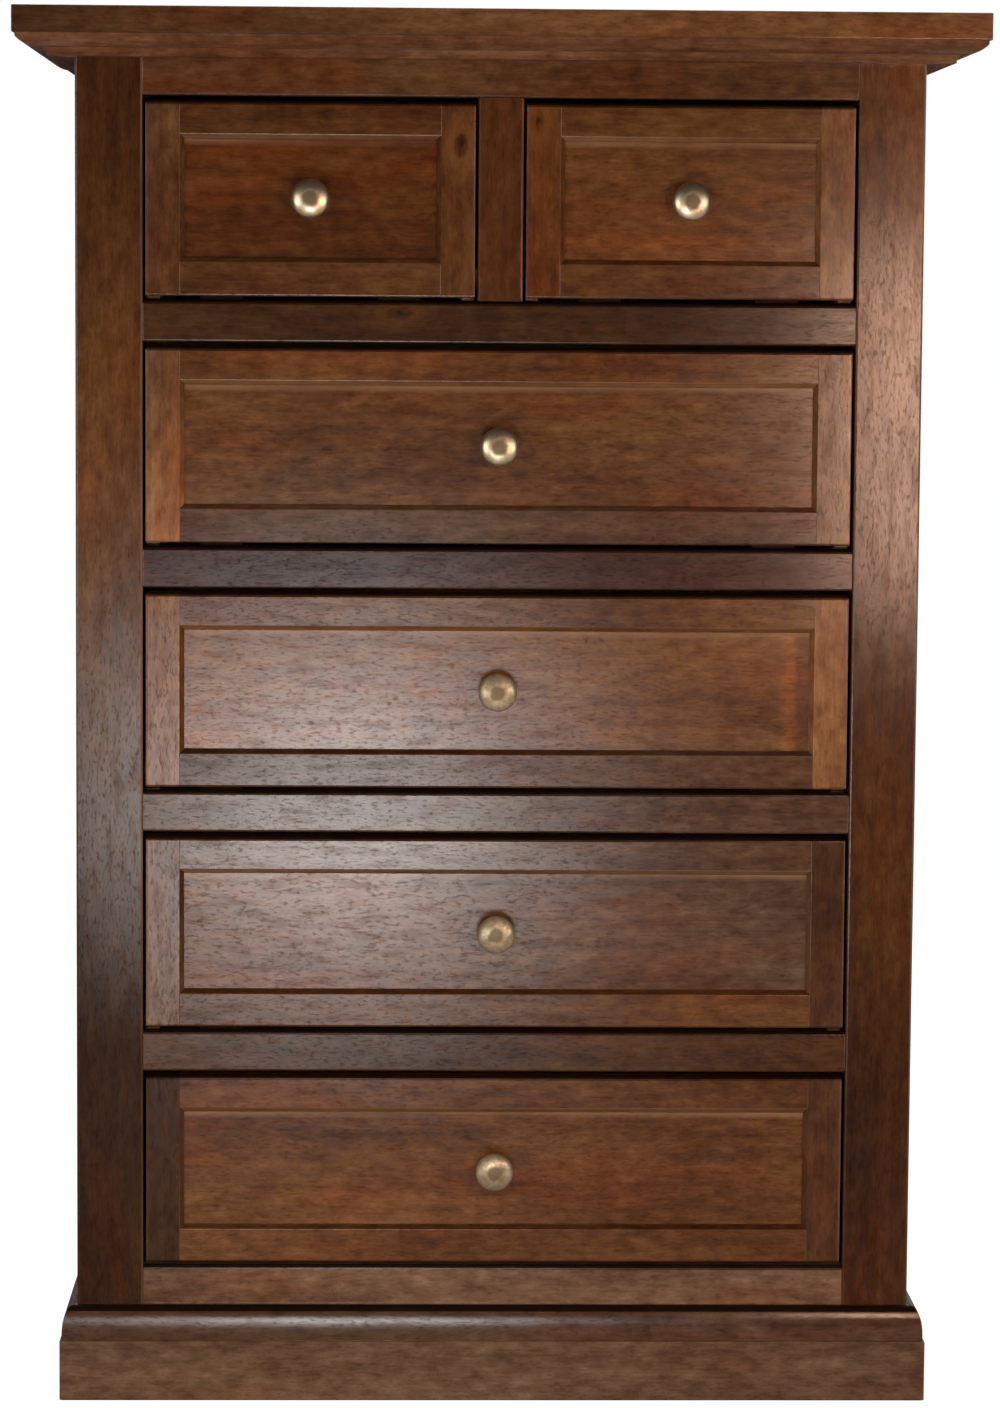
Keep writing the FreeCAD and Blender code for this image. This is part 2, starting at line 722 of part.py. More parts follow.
def side_runners(row):
    """The pair of runners of one row, each with a batten on it that guides the drawer."""
    pieces = []
    for hand in HANDS:
        low = f"layout.{row}_z - sizes.rail_height"
        bearer = block(
            f"runner_{row}_{hand}",
            (from_side(hand, "layout.side_inner", "sizes.runner_width"), "layout.post_back", low),
            ("sizes.runner_width", "layout.cleat_length", "sizes.rail_height"),
        )
        width = "layout.side_inner - layout.guide_face"
        guide = block(
            f"guide_{row}_{hand}",
            (
                from_side(hand, "layout.side_inner", width),
                "layout.post_back",
                f"layout.{row}_z",
            ),
            (width, "layout.cleat_length", "sizes.guide_height"),
        )
        pieces += [bearer, guide]
    return pieces


def centre_runners():
    """The runner behind the muntin, that both short drawers rest on, and its guide."""
    length = "layout.back_rail_y - layout.rail_back"
    bearer = block(
        "runner_centre",
        (
            "-layout.centre_runner / 2",
            "layout.rail_back",
            "layout.one_z - sizes.rail_height",
        ),
        ("layout.centre_runner", length, "sizes.rail_height"),
    )
    guide = block(
        "guide_centre",
        ("-layout.centre_guide / 2", "layout.rail_back", "layout.one_z"),
        ("layout.centre_guide", length, "sizes.guide_height"),
    )
    return [bearer, guide]


runners = centre_runners()
for row in ROWS:
    runners += side_runners(row)
keep(group("runner_set", runners), "drawer_runners")

stops = []


def drawer_stops(row, centre, front_width):
    """Two blocks on the rail, just behind the closed drawer front."""
    for hand, sign in zip(HANDS, ("-", "+")):
        inset = f"({front_width} / 2 - sizes.stop_inset)"
        stops.append(
            block(
                f"stop_{row}_{hand}_{len(stops)}",
                (
                    f"{centre} {sign} {inset} - sizes.stop_width / 2",
                    "layout.box_front + sizes.stop_clearance",
                    f"layout.{row}_z",
                ),
                ("sizes.stop_width", "sizes.stop_depth", "sizes.stop_height"),
            )
        )


# ----------------------------------------------------------------------------- drawers


def front_stiles(name, width, height, corner):
    """Both stiles of a drawer front: the chamfer stops in a mitre at each rail."""
    body = new_body(f"{name}_stile", corner)
    edge = f"-{width} / 2"
    section = [
        (edge, "0"),
        (f"{edge} + sizes.front_face", "0"),
        (f"{edge} + layout.frame_edge", "sizes.chamfer_depth"),
        (f"{edge} + layout.frame_edge", "sizes.front_thick"),
        (edge, "sizes.front_thick"),
    ]
    drawing = sketch(body, "XY_Plane", [section], offset=f"-{height} / 2")
    stick = pad(body, drawing, height)
    far = "(sizes.front_face + 2 * sizes.front_lip)"
    corners = []
    for sign in ("", "-"):
        corners.append(
            [
                (f"{edge} + sizes.front_face", f"{sign}({height} / 2)"),
                (f"{edge} + {far}", f"{sign}({height} / 2)"),
                (f"{edge} + {far}", f"{sign}({height} / 2 - {far})"),
                (f"{edge} + sizes.front_face", f"{sign}({height} / 2 - sizes.front_face)"),
            ]
        )
    ends = notch(body, sketch(body, "XZ_Plane", corners))
    mirror(body, "YZ_Plane", [stick, ends])
    return body


def front_frame_rails(name, width, height, corner):
    """Both rails of a drawer front, with their chamfer mitred and stub tenons."""
    body = new_body(f"{name}_rail", corner)
    edge = f"-{height} / 2"
    section = [
        ("0", edge),
        ("0", f"{edge} + sizes.front_face"),
        ("sizes.chamfer_depth", f"{edge} + layout.frame_edge"),
        ("sizes.front_thick", f"{edge} + layout.frame_edge"),
        ("sizes.front_thick", edge),
    ]
    drawing = sketch(body, "YZ_Plane", [section])
    stick = pad(body, drawing, f"{width} - 2 * sizes.front_face", midplane=True)
    inner = f"({width} / 2 - sizes.front_face)"
    corners = []
    for sign in ("", "-"):
        corners.append(
            [
                (f"{sign}{inner}", f"{edge} + sizes.front_face"),
                (f"{sign}{inner}", f"{edge} + sizes.front_face + 2 * sizes.front_lip"),
                (
                    f"{sign}({inner} - 2 * sizes.front_lip)",
                    f"{edge} + sizes.front_face + 2 * sizes.front_lip",
                ),
            ]
        )
    ends = notch(body, sketch(body, "XZ_Plane", corners))
    reach = f"({inner} + sizes.stub_length)"
    low = f"{edge} + sizes.stub_shoulder"
    high = f"{edge} + layout.frame_edge - sizes.panel_tongue"
    tenon = [(f"-{reach}", low), (reach, low), (reach, high), (f"-{reach}", high)]
    drawing = sketch(body, "XZ_Plane", [tenon], offset="-sizes.panel_recess")
    tongue = pad(body, drawing, "sizes.panel_thick", reverse=True)
    mirror(body, "XY_Plane", [stick, ends, tongue])
    return body


def front_panel(name, width, height, corner):
    """The flat panel, with a hole for the knob screw at its centre."""
    body = new_body(f"{name}_panel", corner)
    across = f"({width} / 2 - layout.frame_edge + sizes.panel_tongue)"
    up = f"({height} / 2 - layout.frame_edge + sizes.panel_tongue)"
    outline = [(f"-{across}", f"-{up}"), (across, f"-{up}"), (across, up), (f"-{across}", up)]
    pad(body, sketch(body, "XZ_Plane", [outline]), "sizes.panel_thick", reverse=True)
    notch(body, circle_sketch(body, "XZ_Plane", "sizes.knob_screw / 2"))
    return body


def box_sides(name, width, side_height, corner):
    """Both sides of a drawer box, dovetailed at the front end."""
    body = new_body(f"{name}_sides", corner)
    face = "sizes.front_thick"
    end = "(sizes.front_thick + layout.box_length)"
    outline = [(face, "0"), (end, "0"), (end, side_height), (face, side_height)]
    pitch = f"({side_height} - 2 * sizes.tail_margin) / {TAILS}"
    wide = f"({pitch} - sizes.tail_gap) / 2"
    tip = f"{face} - sizes.tail_length"
    for number in reversed(range(TAILS)):
        middle = f"sizes.tail_margin + {number + 0.5} * {pitch}"
        outline += [
            (face, f"{middle} + {wide} - sizes.tail_flare"),
            (tip, f"{middle} + {wide}"),
            (tip, f"{middle} - {wide}"),
            (face, f"{middle} - {wide} + sizes.tail_flare"),
        ]
    drawing = sketch(body, "YZ_Plane", [outline], offset=f"-{width} / 2")
    board = pad(body, drawing, "sizes.box_thick")
    mirror(body, "YZ_Plane", [board])
    return body


KNOB_FACE = 6  # the stretch of the knob's outline that starts at this corner is crowned


def knob_and_screw(name, corner):
    """A turned knob, and the screw that holds it through the panel. The corner is the
    middle of the panel's face, and the knob points to the front."""
    body = new_body(f"{name}_turning", corner)
    shoulder = "sizes.knob_projection - sizes.knob_crown"
    half = [
        ("0", "0"),
        ("sizes.knob_foot / 2", "0"),
        ("sizes.knob_foot / 2", "-sizes.knob_foot_height"),
        ("sizes.knob_neck / 2", "-sizes.knob_foot_height"),
        ("sizes.knob_neck / 2", "-sizes.knob_back"),
        ("layout.knob_radius", "-sizes.knob_back"),
        ("layout.knob_radius", f"-({shoulder})"),
        ("0", "-sizes.knob_projection"),
    ]
    drawing = sketch(body, "XY_Plane", [half], arcs=[(KNOB_FACE, "layout.crown_radius", -1)])
    turning = body.newObject("PartDesign::Revolution", f"{name}_revolution")
    turning.Profile = drawing
    turning.ReferenceAxis = (drawing, ["V_Axis"])
    turning.Angle = 360
    body.Tip = turning
    doc.recompute()
    turned = turning
    for size, level in (("knob_back_edge", "sizes.knob_back"), ("knob_edge", shoulder)):
        rims = rim_edges(turned.Shape, value("layout.knob_radius"), -value(level))
        rounding = body.newObject("PartDesign::Fillet", f"{name}_{size}")
        rounding.Base = (turned, rims)
        rounding.setExpression("Radius", f"sizes.{size}")
        body.Tip = rounding
        doc.recompute()
        turned = rounding

    x, y, z = corner
    seat = f"{y} + sizes.panel_thick"
    toward_front = V(0, -1, 0)
    shank = rod(
        f"{name}_shank",
        (x, seat, z),
        toward_front,
        "sizes.knob_screw / 2",
        "sizes.panel_thick + sizes.knob_screw_bite",
    )
    head = rod(
        f"{name}_head",
        (x, f"{seat} + sizes.knob_screw_head_height", z),
        toward_front,
        "sizes.knob_screw_head / 2",
        "sizes.knob_screw_head_height",
    )
    screw = joined(f"{name}_screw", [shank, head])
    return [fitted(f"{name}_bored", body, [screw]), screw]


def rim_edges(shape, radius, level):
    """Names of the circular edges of a radius at a level along Y, in a body's own frame."""
    found = []
    for number, edge in enumerate(shape.Edges, start=1):
        if edge.Degenerated or not isinstance(edge.Curve, Part.Circle):
            continue
        curve = edge.Curve
        if abs(curve.Radius - radius) < 1e-4 and abs(curve.Center.y - level) < 1e-4:
            found.append(f"Edge{number}")
    return found


def drawer(label, row, centre, width):
    """One complete drawer: framed front, dovetailed box, bottom, knob and screw."""
    height = f"layout.{row}_front"
    side_height = f"layout.{row}_side"
    base = f"layout.{row}_z + sizes.run_clearance"
    middle = f"layout.{row}_z + sizes.gap_bottom + {height} / 2"
    panel_face = "layout.front_plane + sizes.panel_recess"

    front_corner = (centre, "layout.front_plane", middle)
    panel_corner = (centre, panel_face, middle)
    stiles = front_stiles(label, width, height, front_corner)
    rails = front_frame_rails(label, width, height, front_corner)
    panel = front_panel(label, width, height, panel_corner)
    sides = box_sides(label, width, side_height, (centre, "layout.front_plane", base))

    housed = f"({width} / 2 - sizes.box_thick + sizes.box_groove)"
    box_end = "layout.box_front + layout.box_length"
    back_low = "sizes.box_bottom_rise + sizes.box_bottom_thick"
    back = block(
        f"{label}_back",
        (
            f"{centre} - {housed}",
            f"{box_end} - sizes.back_inset - sizes.box_thick",
            f"{base} + {back_low}",
        ),
        (
            f"2 * {housed}",
            "sizes.box_thick",
            f"{side_height} - ({back_low}) - sizes.back_drop",
        ),
    )
    bottom = block(
        f"{label}_bottom",
        (
            f"{centre} - {housed}",
            "layout.box_front - sizes.front_groove",
            f"{base} + sizes.box_bottom_rise",
        ),
        (
            f"2 * {housed}",
            "layout.box_length + sizes.front_groove - sizes.back_inset",
            "sizes.box_bottom_thick",
        ),
    )
    sides_cut = fitted(f"{label}_sides_cut", sides, [back, bottom])
    rails_cut = fitted(f"{label}_rails_cut", rails, [panel, bottom])
    stiles_cut = fitted(f"{label}_stiles_cut", stiles, [rails, panel, sides, bottom])

    keep(stiles_cut, f"{label}_stiles")
    keep(rails_cut, f"{label}_rails")
    keep(panel, f"{label}_panel")
    keep(group(f"{label}_box_set", [sides_cut, back]), f"{label}_box")
    keep(bottom, f"{label}_bottom")
    keep(group(f"{label}_knob_set", knob_and_screw(label, panel_corner)), f"{label}_knob")
    drawer_stops(row, centre, width)


drawer("drawer_1_left", "one", "(-layout.short_centre)", "layout.short_front")
drawer("drawer_1_right", "one", "layout.short_centre", "layout.short_front")
for number, row in ((2, "two"), (3, "three"), (4, "four"), (5, "five")):
    drawer(f"drawer_{number}", row, "0", "layout.long_front")
keep(group("stop_set", stops), "drawer_stops")

# ------------------------------------------------------------------- check and export

doc.recompute()
for thing in doc.Objects:
    if "Invalid" in thing.State or "Error" in thing.State:
        raise RuntimeError(f"{thing.Label} did not compute: {thing.State}")
for label, thing in nodes.items():
    if thing.Shape.isNull() or not thing.Shape.isValid():
        raise RuntimeError(f"{label} has no valid shape")
    if not thing.Shape.Solids:
        raise RuntimeError(f"{label} has no solid")

os.makedirs("parts", exist_ok=True)
for label, thing in nodes.items():
    thing.Shape.exportStep(os.path.join("parts", f"{label}.step"))
    print(f"{label}: {len(thing.Shape.Solids)} solid(s), {thing.Shape.Volume / 1000:.1f} cm3")
print(f"{len(nodes)} nodes")
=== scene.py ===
# %% [markdown]
# # A tallboy chest of drawers
#
# This lesson dresses a tall chest of drawers: two short drawers over four long ones in a
# framed pine case, stained walnut brown and lacquered, with round brass knobs. The shapes
# were settled in CAD. Here every board that shows is made again with its eased edges and
# its own grain, and every hidden one gets its real material, except the drawer stops, which
# are painted dark as shade.

# %% Load the chest
import math

import bpy
from mathutils import Matrix, Vector


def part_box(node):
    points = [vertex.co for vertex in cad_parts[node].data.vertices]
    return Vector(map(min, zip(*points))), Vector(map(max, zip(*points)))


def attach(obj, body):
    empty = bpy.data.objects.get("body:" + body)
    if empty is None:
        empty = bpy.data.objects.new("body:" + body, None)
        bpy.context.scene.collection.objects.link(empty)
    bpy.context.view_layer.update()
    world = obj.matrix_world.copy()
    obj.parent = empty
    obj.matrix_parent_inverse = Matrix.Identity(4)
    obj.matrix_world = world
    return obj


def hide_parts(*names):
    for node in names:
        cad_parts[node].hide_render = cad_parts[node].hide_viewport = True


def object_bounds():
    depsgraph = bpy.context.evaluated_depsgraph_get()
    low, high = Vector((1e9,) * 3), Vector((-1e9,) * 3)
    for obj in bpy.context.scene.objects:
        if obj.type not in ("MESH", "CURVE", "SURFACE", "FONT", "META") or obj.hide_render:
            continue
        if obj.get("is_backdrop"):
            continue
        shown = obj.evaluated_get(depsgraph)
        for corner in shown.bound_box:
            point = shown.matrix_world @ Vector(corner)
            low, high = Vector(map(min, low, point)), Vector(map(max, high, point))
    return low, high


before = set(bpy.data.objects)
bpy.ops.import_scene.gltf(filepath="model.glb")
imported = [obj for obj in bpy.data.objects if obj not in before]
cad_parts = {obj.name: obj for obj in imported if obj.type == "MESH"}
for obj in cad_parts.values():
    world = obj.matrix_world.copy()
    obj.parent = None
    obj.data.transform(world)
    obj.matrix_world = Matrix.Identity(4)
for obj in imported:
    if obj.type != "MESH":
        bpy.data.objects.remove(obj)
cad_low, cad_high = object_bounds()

MM = 0.001
NEAR = 0.01 * MM  # two places nearer than this are the same place
HANDS = {"left": -1, "right": 1}


def in_mm(lengths):
    return [round(length / MM, 1) for length in lengths]


print("chest, in millimetres:", in_mm(cad_high - cad_low))

# %% [markdown]
# ## Camera
#
# The chest is seen from the front and a little from the left, from just below the height of
# its top, through a long lens, so its upright edges stay nearly parallel. The camera is
# turned three times: pan about the upright axis, tilt, and a touch of roll.

# %% Place the camera
CAMERA_PLACE = Vector((-0.1039, -4.1735, 1.0481))
PAN, TILT, ROLL = (math.radians(degrees) for degrees in (-1.5233, 84.5401, 0.415))
SENSOR, LENS = 36, 153.73  # width of the sensor and focal length, in millimetres

camera_data = bpy.data.cameras.new("camera")
camera_data.sensor_fit = "HORIZONTAL"
camera_data.sensor_width, camera_data.lens = SENSOR, LENS
camera = bpy.data.objects.new("camera", camera_data)
bpy.context.scene.collection.objects.link(camera)
pan, tilt = Matrix.Rotation(PAN, 4, "Z"), Matrix.Rotation(TILT, 4, "X")
turned = pan @ tilt @ Matrix.Rotation(ROLL, 4, "Z")
camera.matrix_world = Matrix.Translation(CAMERA_PLACE) @ turned
bpy.context.scene.camera = camera
bpy.context.scene.view_settings.view_transform = "Standard"
print("camera is", round(CAMERA_PLACE.length, 2), "m from the foot of the chest")

# %% [markdown]
# ## Two helpers for materials
#
# A material is a small program of nodes. A signal, a number that changes over a surface,
# gets Python's own operators: adding two signals adds the Math node that does it. Every
# other node comes from one method that takes its type, its settings and what its sockets
# hold, in that order, because some settings change which sockets there are.

# %% Signals and finishes
def operator(operation, flipped=False):
    """A method that adds the Math node for one operation of a signal with another."""

    def calculate(signal, other):
        pair = (other, signal) if flipped else (signal, other)
        settings = {"operation": operation}
        return signal.finish.signal("Math", settings, {0: pair[0], 1: pair[1]})

    return calculate


class Signal:
    """A number that changes over a surface, and that Python can calculate with."""

    def __init__(self, finish, socket):
        self.finish = finish
        self.socket = socket

    __add__, __radd__ = operator("ADD"), operator("ADD", flipped=True)
    __sub__, __rsub__ = operator("SUBTRACT"), operator("SUBTRACT", flipped=True)
    __mul__ = operator("MULTIPLY")


class Finish:
    """The nodes of a material, or of the world, added one by one."""

    def __init__(self, owner):
        owner.use_nodes = True
        self.owner = owner
        self.tree = owner.node_tree
        self.tree.nodes.clear()

    def node(self, kind, settings=None, sockets=None):
        node = self.tree.nodes.new(f"ShaderNode{kind}")
        for name, setting in (settings or {}).items():
            setattr(node, name, setting)
        for name, held in (sockets or {}).items():
            held = held.socket if isinstance(held, Signal) else held
            if isinstance(held, bpy.types.NodeSocket):
                self.tree.links.new(held, node.inputs[name])
            else:
                node.inputs[name].default_value = held
        return node

    def signal(self, kind, settings=None, sockets=None, output=0):
        return Signal(self, self.node(kind, settings, sockets).outputs[output])

    def carried(self, name, output="Fac"):
        """What the piece itself carries under a name, at each point or on each face."""
        return self.signal("Attribute", {"attribute_name": name}, output=output)

    def place(self, output="Object"):
        return self.node("TexCoord").outputs[output]

    def vectors(self, operation, first, second):
        settings = {"operation": operation}
        return self.node("VectorMath", settings, {0: first, 1: second}).outputs[0]

    def length(self, vector):
        return self.signal("VectorMath", {"operation": "LENGTH"}, {0: vector}, 1)

    def noise(self, vector, scale, detail=2.0, roughness=0.5):
        """Cloudy noise between 0 and 1, with its own fineness along each axis."""
        place = self.vectors("MULTIPLY", vector, scale)
        sockets = {"Vector": place, "Scale": 1.0, "Detail": detail, "Roughness": roughness}
        return self.signal("TexNoise", {}, sockets)

    def step(self, signal, low, high):
        """0 below low, 1 above high, and smooth between them."""
        sockets = {"Value": signal, "From Min": low, "From Max": high}
        return self.signal("MapRange", {"interpolation_type": "SMOOTHSTEP"}, sockets)

    def blend(self, factor, first, second, how="MIX"):
        """Two colours mixed. One that is given in numbers covers fully."""
        settings = {"data_type": "RGBA", "blend_type": how}
        first, second = (
            (*colour, 1.0) if isinstance(colour, tuple) else colour for colour in (first, second)
        )
        return self.node("Mix", settings, {0: factor, 6: first, 7: second}).outputs[2]

    def ramp(self, signal, stops):
        """A colour that runs through the stops, each a level of the signal and its colour."""
        node = self.node("ValToRGB", {}, {0: signal})
        elements = node.color_ramp.elements
        while len(elements) < len(stops):
            elements.new(0.5)
        for element, (level, colour) in zip(elements, stops):
            element.position, element.color = level, (*colour, 1.0)
        return node.outputs[0]

    def bump(self, strength, distance, height):
        sockets = {"Strength": strength, "Distance": distance, "Height": height}
        return self.node("Bump", {}, sockets).outputs[0]

    def surface(self, sockets):
        """The Principled shader that ends the material."""
        shader = self.node("BsdfPrincipled", {}, sockets)
        self.node("OutputMaterial", {}, {"Surface": shader.outputs[0]})
        return self.owner


print("finishes are built with:", [name for name in vars(Finish) if name[0] != "_"])

# %% [markdown]
# ## Studio
#
# The chest stands on a round sheet of pale paper before a pale backdrop. The room in front
# is dark, because a glossy front shows what it faces, and a white room would put a veil over
# every board. Lacquer and brass seen at a low angle mirror what is behind the chest, so
# reflected rays find the backdrop there, and beyond the paper the floor is dark. The camera
# sees plain white all round, and the chest's shadow.

# %% World
WHITE = (1.0, 1.0, 1.0, 1.0)
ROOM = 0.045  # how bright the dark room is
BACKDROP = (0.10, 0.70)  # how far back a reflected ray points when it starts to find it


def rays(finish, kind):
    """1 for the rays of one kind, 0 for all others."""
    return finish.signal("LightPath", output=f"Is {kind} Ray")


bpy.context.scene.world = bpy.data.worlds.new("studio")
sky = Finish(bpy.context.scene.world)
split = sky.node("SeparateXYZ", {}, {0: sky.place("Generated")})
behind = sky.step(Signal(sky, split.outputs["Y"]), *BACKDROP)
room = sky.node("Background", {}, {"Color": WHITE, "Strength": ROOM})
plain = sky.node("Background", {}, {"Color": WHITE, "Strength": 1.0})
seen = rays(sky, "Camera") + rays(sky, "Transmission") + rays(sky, "Glossy") * behind
either = sky.node("MixShader", {}, {0: seen, 1: room.outputs[0], 2: plain.outputs[0]})
sky.node("OutputWorld", {}, {"Surface": either.outputs[0]})
print("world has", len(sky.tree.nodes), "nodes")

# %% Floor
PAPER, PAPER_END = 2.6, 3.2  # where the paper starts to darken and where it has, in metres
PAPER_GREY, FLOOR_GREY = (0.62, 0.62, 0.62), (0.03, 0.03, 0.03)
GLOW, GLOW_SHARE = 1.45, 0.70  # how bright the floor seems to the camera, and for what share
FLOOR_SIDE = 60

pale = Finish(bpy.data.materials.new("pale_floor"))
off_paper = pale.step(pale.length(pale.place()), PAPER, PAPER_END)
shade = pale.blend(off_paper, PAPER_GREY, FLOOR_GREY)
diffuse = pale.node("BsdfDiffuse", {}, {"Color": shade})
glow = pale.node("Emission", {}, {"Color": WHITE, "Strength": GLOW})
share = rays(pale, "Camera") * GLOW_SHARE
lit = pale.node("MixShader", {}, {0: share, 1: diffuse.outputs[0], 2: glow.outputs[0]})
pale.node("OutputMaterial", {}, {"Surface": lit.outputs[0]})

bpy.ops.object.select_all(action="DESELECT")
bpy.ops.mesh.primitive_plane_add(size=FLOOR_SIDE, location=(0, 0, 0))
floor = bpy.context.object
floor.name = "floor"
floor.data.materials.append(pale.owner)
floor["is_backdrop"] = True
print("floor is", floor.dimensions.x, "m wide")

# %% [markdown]
# ## Lamps
#
# A small round soft box, with a wider one behind it, stands low in front of the chest, where
# a mirror on the middle drawers would show it: there the lacquer picks up a round haze. A
# tall narrow one does the same for the right post. Two wide ones give the even light, one
# overhead lights the floor, and one behind the back.

# %% Soft boxes
def soft_box(name, place, target, size, radiance, colour=(1.0, 1.0, 1.0)):
    """An area lamp that faces a point and whose face is equally bright at any size."""
    lamp_data = bpy.data.lights.new(name, "AREA")
    lamp_data.shape = "ELLIPSE" if name.startswith("round") else "RECTANGLE"
    lamp_data.size, lamp_data.size_y = size
    lamp_data.energy = radiance * math.pi * size[0] * size[1]
    lamp_data.color = colour
    lamp = bpy.data.objects.new(name, lamp_data)
    bpy.context.scene.collection.objects.link(lamp)
    aim = (Vector(target) - Vector(place)).to_track_quat("-Z", "Y")
    lamp.matrix_world = Matrix.Translation(place) @ aim.to_matrix().to_4x4()
    lamp.visible_camera = False


WARM = (1.0, 0.62, 0.45)
soft_box("round_core_box", (-0.158, -1.67, 0.380), (-0.14, 0.0, 0.557), (0.34, 0.32), 7.5)
soft_box("round_halo_box", (-0.185, -1.69, 0.380), (-0.16, 0.0, 0.557), (0.74, 0.64), 3.1)
soft_box("post_box", (0.573, -1.67, 0.880), (0.46, 0.0, 0.91), (0.08, 0.46), 44.0, WARM)
soft_box("left_box", (-2.3, -2.6, 0.75), (0.0, 0.0, 0.6), (1.5, 1.5), 3.6)
soft_box("right_box", (2.3, -2.6, 0.75), (0.0, 0.0, 0.6), (1.5, 1.5), 3.1)
soft_box("overhead_box", (0.0, 0.5, 3.2), (0.0, 0.3, 0.0), (2.0, 1.4), 3.4)
soft_box("back_box", (1.9, 2.8, 1.3), (0.0, 0.2, 0.6), (1.4, 1.4), 5.0)

# %% [markdown]
# ## Working at the bench
#
# Nobody leaves an arris sharp where a hand will touch it. A board therefore starts as a
# block at its real size, its front edges are rounded, and the others get a small bevel.

# %% Bench helpers
SHARP = math.radians(40)  # an edge where the faces turn more than this is an arris


def mode(name):
    bpy.ops.object.mode_set(mode=name)


def deselect():
    """Back to object mode with nothing selected."""
    if bpy.context.object and bpy.context.object.mode == "EDIT":
        mode("OBJECT")
    bpy.ops.object.select_all(action="DESELECT")


def take(piece):
    """Selects one piece alone and makes it the active one."""
    deselect()
    piece.select_set(True)
    bpy.context.view_layer.objects.active = piece


def settle(name):
    """Names the active piece and moves its place, turn and size into its mesh."""
    piece = bpy.context.object
    bpy.ops.object.transform_apply(location=True, rotation=True, scale=True)
    piece.name = name
    piece.data.name = name
    return piece


def apply_modifier(piece, kind, **settings):
    """Adds a modifier, sets it and applies it."""
    take(piece)
    modifier = piece.modifiers.new(kind.lower(), kind)
    for name, setting in settings.items():
        setattr(modifier, name, setting)
    bpy.ops.object.modifier_apply(modifier=modifier.name)


def ease(piece, width):
    """Takes the sharpness off every arris that is still sharp."""
    limit = {"limit_method": "ANGLE", "angle_limit": SHARP}
    apply_modifier(piece, "BEVEL", width=width, segments=2, **limit)


def block(name, low, high):
    """A block of wood between two corners."""
    deselect()
    low, high = Vector(low), Vector(high)
    bpy.ops.mesh.primitive_cube_add(size=1, location=(low + high) / 2, scale=high - low)
    return settle(name)


def join(name, pieces):
    """Several boards kept as one piece."""
    take(pieces[0])
    for piece in pieces:
        piece.select_set(True)
    bpy.ops.object.join()
    return settle(name)


print("an arris turns more than", round(math.degrees(SHARP)), "degrees")


# %% Cut and round
def cut(piece, point, normal, **how):
    """Scores a line round the piece where a plane meets it. Settings make it a saw cut."""
    take(piece)
    mode("EDIT")
    bpy.ops.mesh.select_all(action="SELECT")
    bpy.ops.mesh.bisect(plane_co=point, plane_no=normal, **how)
    bpy.ops.mesh.select_all(action="DESELECT")
    mode("OBJECT")


def score_across(piece, axis, places):
    """A line round the piece at each place, with points on it that can hold a tone."""
    for place in places:
        point, normal = Vector(), Vector()
        point[axis], normal[axis] = place, 1
        cut(piece, point, normal)


def round_front(piece, rims):
    """Rounds front edges. Each rim is the axis and the level they lie at, and a radius."""
    take(piece)
    front = min(corner.co.y for corner in piece.data.vertices)
    for axis, level, radius in rims:
        mode("EDIT")
        bpy.ops.mesh.select_mode(type="EDGE")
        bpy.ops.mesh.select_all(action="DESELECT")
        mode("OBJECT")
        on_rim = [
            corner.co.y < front + NEAR and abs(corner.co[axis] - level) < NEAR
            for corner in piece.data.vertices
        ]
        for edge in piece.data.edges:
            edge.select = all(on_rim[end] for end in edge.vertices)
        mode("EDIT")
        bpy.ops.mesh.bevel(offset=radius, segments=4, affect="EDGES")
        bpy.ops.mesh.select_mode(type="VERT")
        mode("OBJECT")


print("cuts are true to", NEAR, "m")

# %% [markdown]
# ## Grain
#
# A material can't know which way a board lies, so each point of a board carries its place
# in the wood, along the grain, across it and through it, from a start that differs from
# board to board. It also carries the board's tone, which multiplies the colour of the stain
# and says how well the lacquer shines, and its way from the board's knot. Where the tone
# turns on the way along, the board is scored across. The faces carry two numbers more. The
# first lightens the narrow eased edges, a little everywhere as wear and more on those that
# face right and down, as a painted highlight. The second is painted shade: on the rounded
# upper edges along the gaps, a little on the lowest edges, and on some chamfers, while other
# chamfers get a painted highlight.

# %% Tones
def cast(*tint):
    """A kind of stain: it makes tones from how light a board is and how well it shines."""

    def tone(lightness, shine=1.0):
        return (*(lightness * part for part in tint), shine)

    return tone


walnut = cast(1.00, 1.00, 1.00)
rust = cast(1.05, 0.90, 0.75)
plum = cast(0.92, 1.12, 2.00)
honey = cast(1.20, 1.36, 1.80)
smoke = cast(0.80, 1.12, 2.30)
straw = cast(1.00, 1.10, 1.10)
grape = cast(1.00, 0.90, 2.10)


def tone_at(stops, place):
    """The tone between the two nearest of the stops along a board."""
    for (start, first), (end, second) in zip(stops, stops[1:]):
        if place < end:
            share = max(0.0, (place - start) / (end - start))
            return tuple(a + (b - a) * share for a, b in zip(first, second))
    return stops[-1][1]


def score_stops(piece, axis, colour):
    """Scores a piece where its tone turns, if it does."""
    if isinstance(colour, list):
        score_across(piece, axis, [place for place, _ in colour])


print("a dark walnut board that shines:", walnut(0.5))

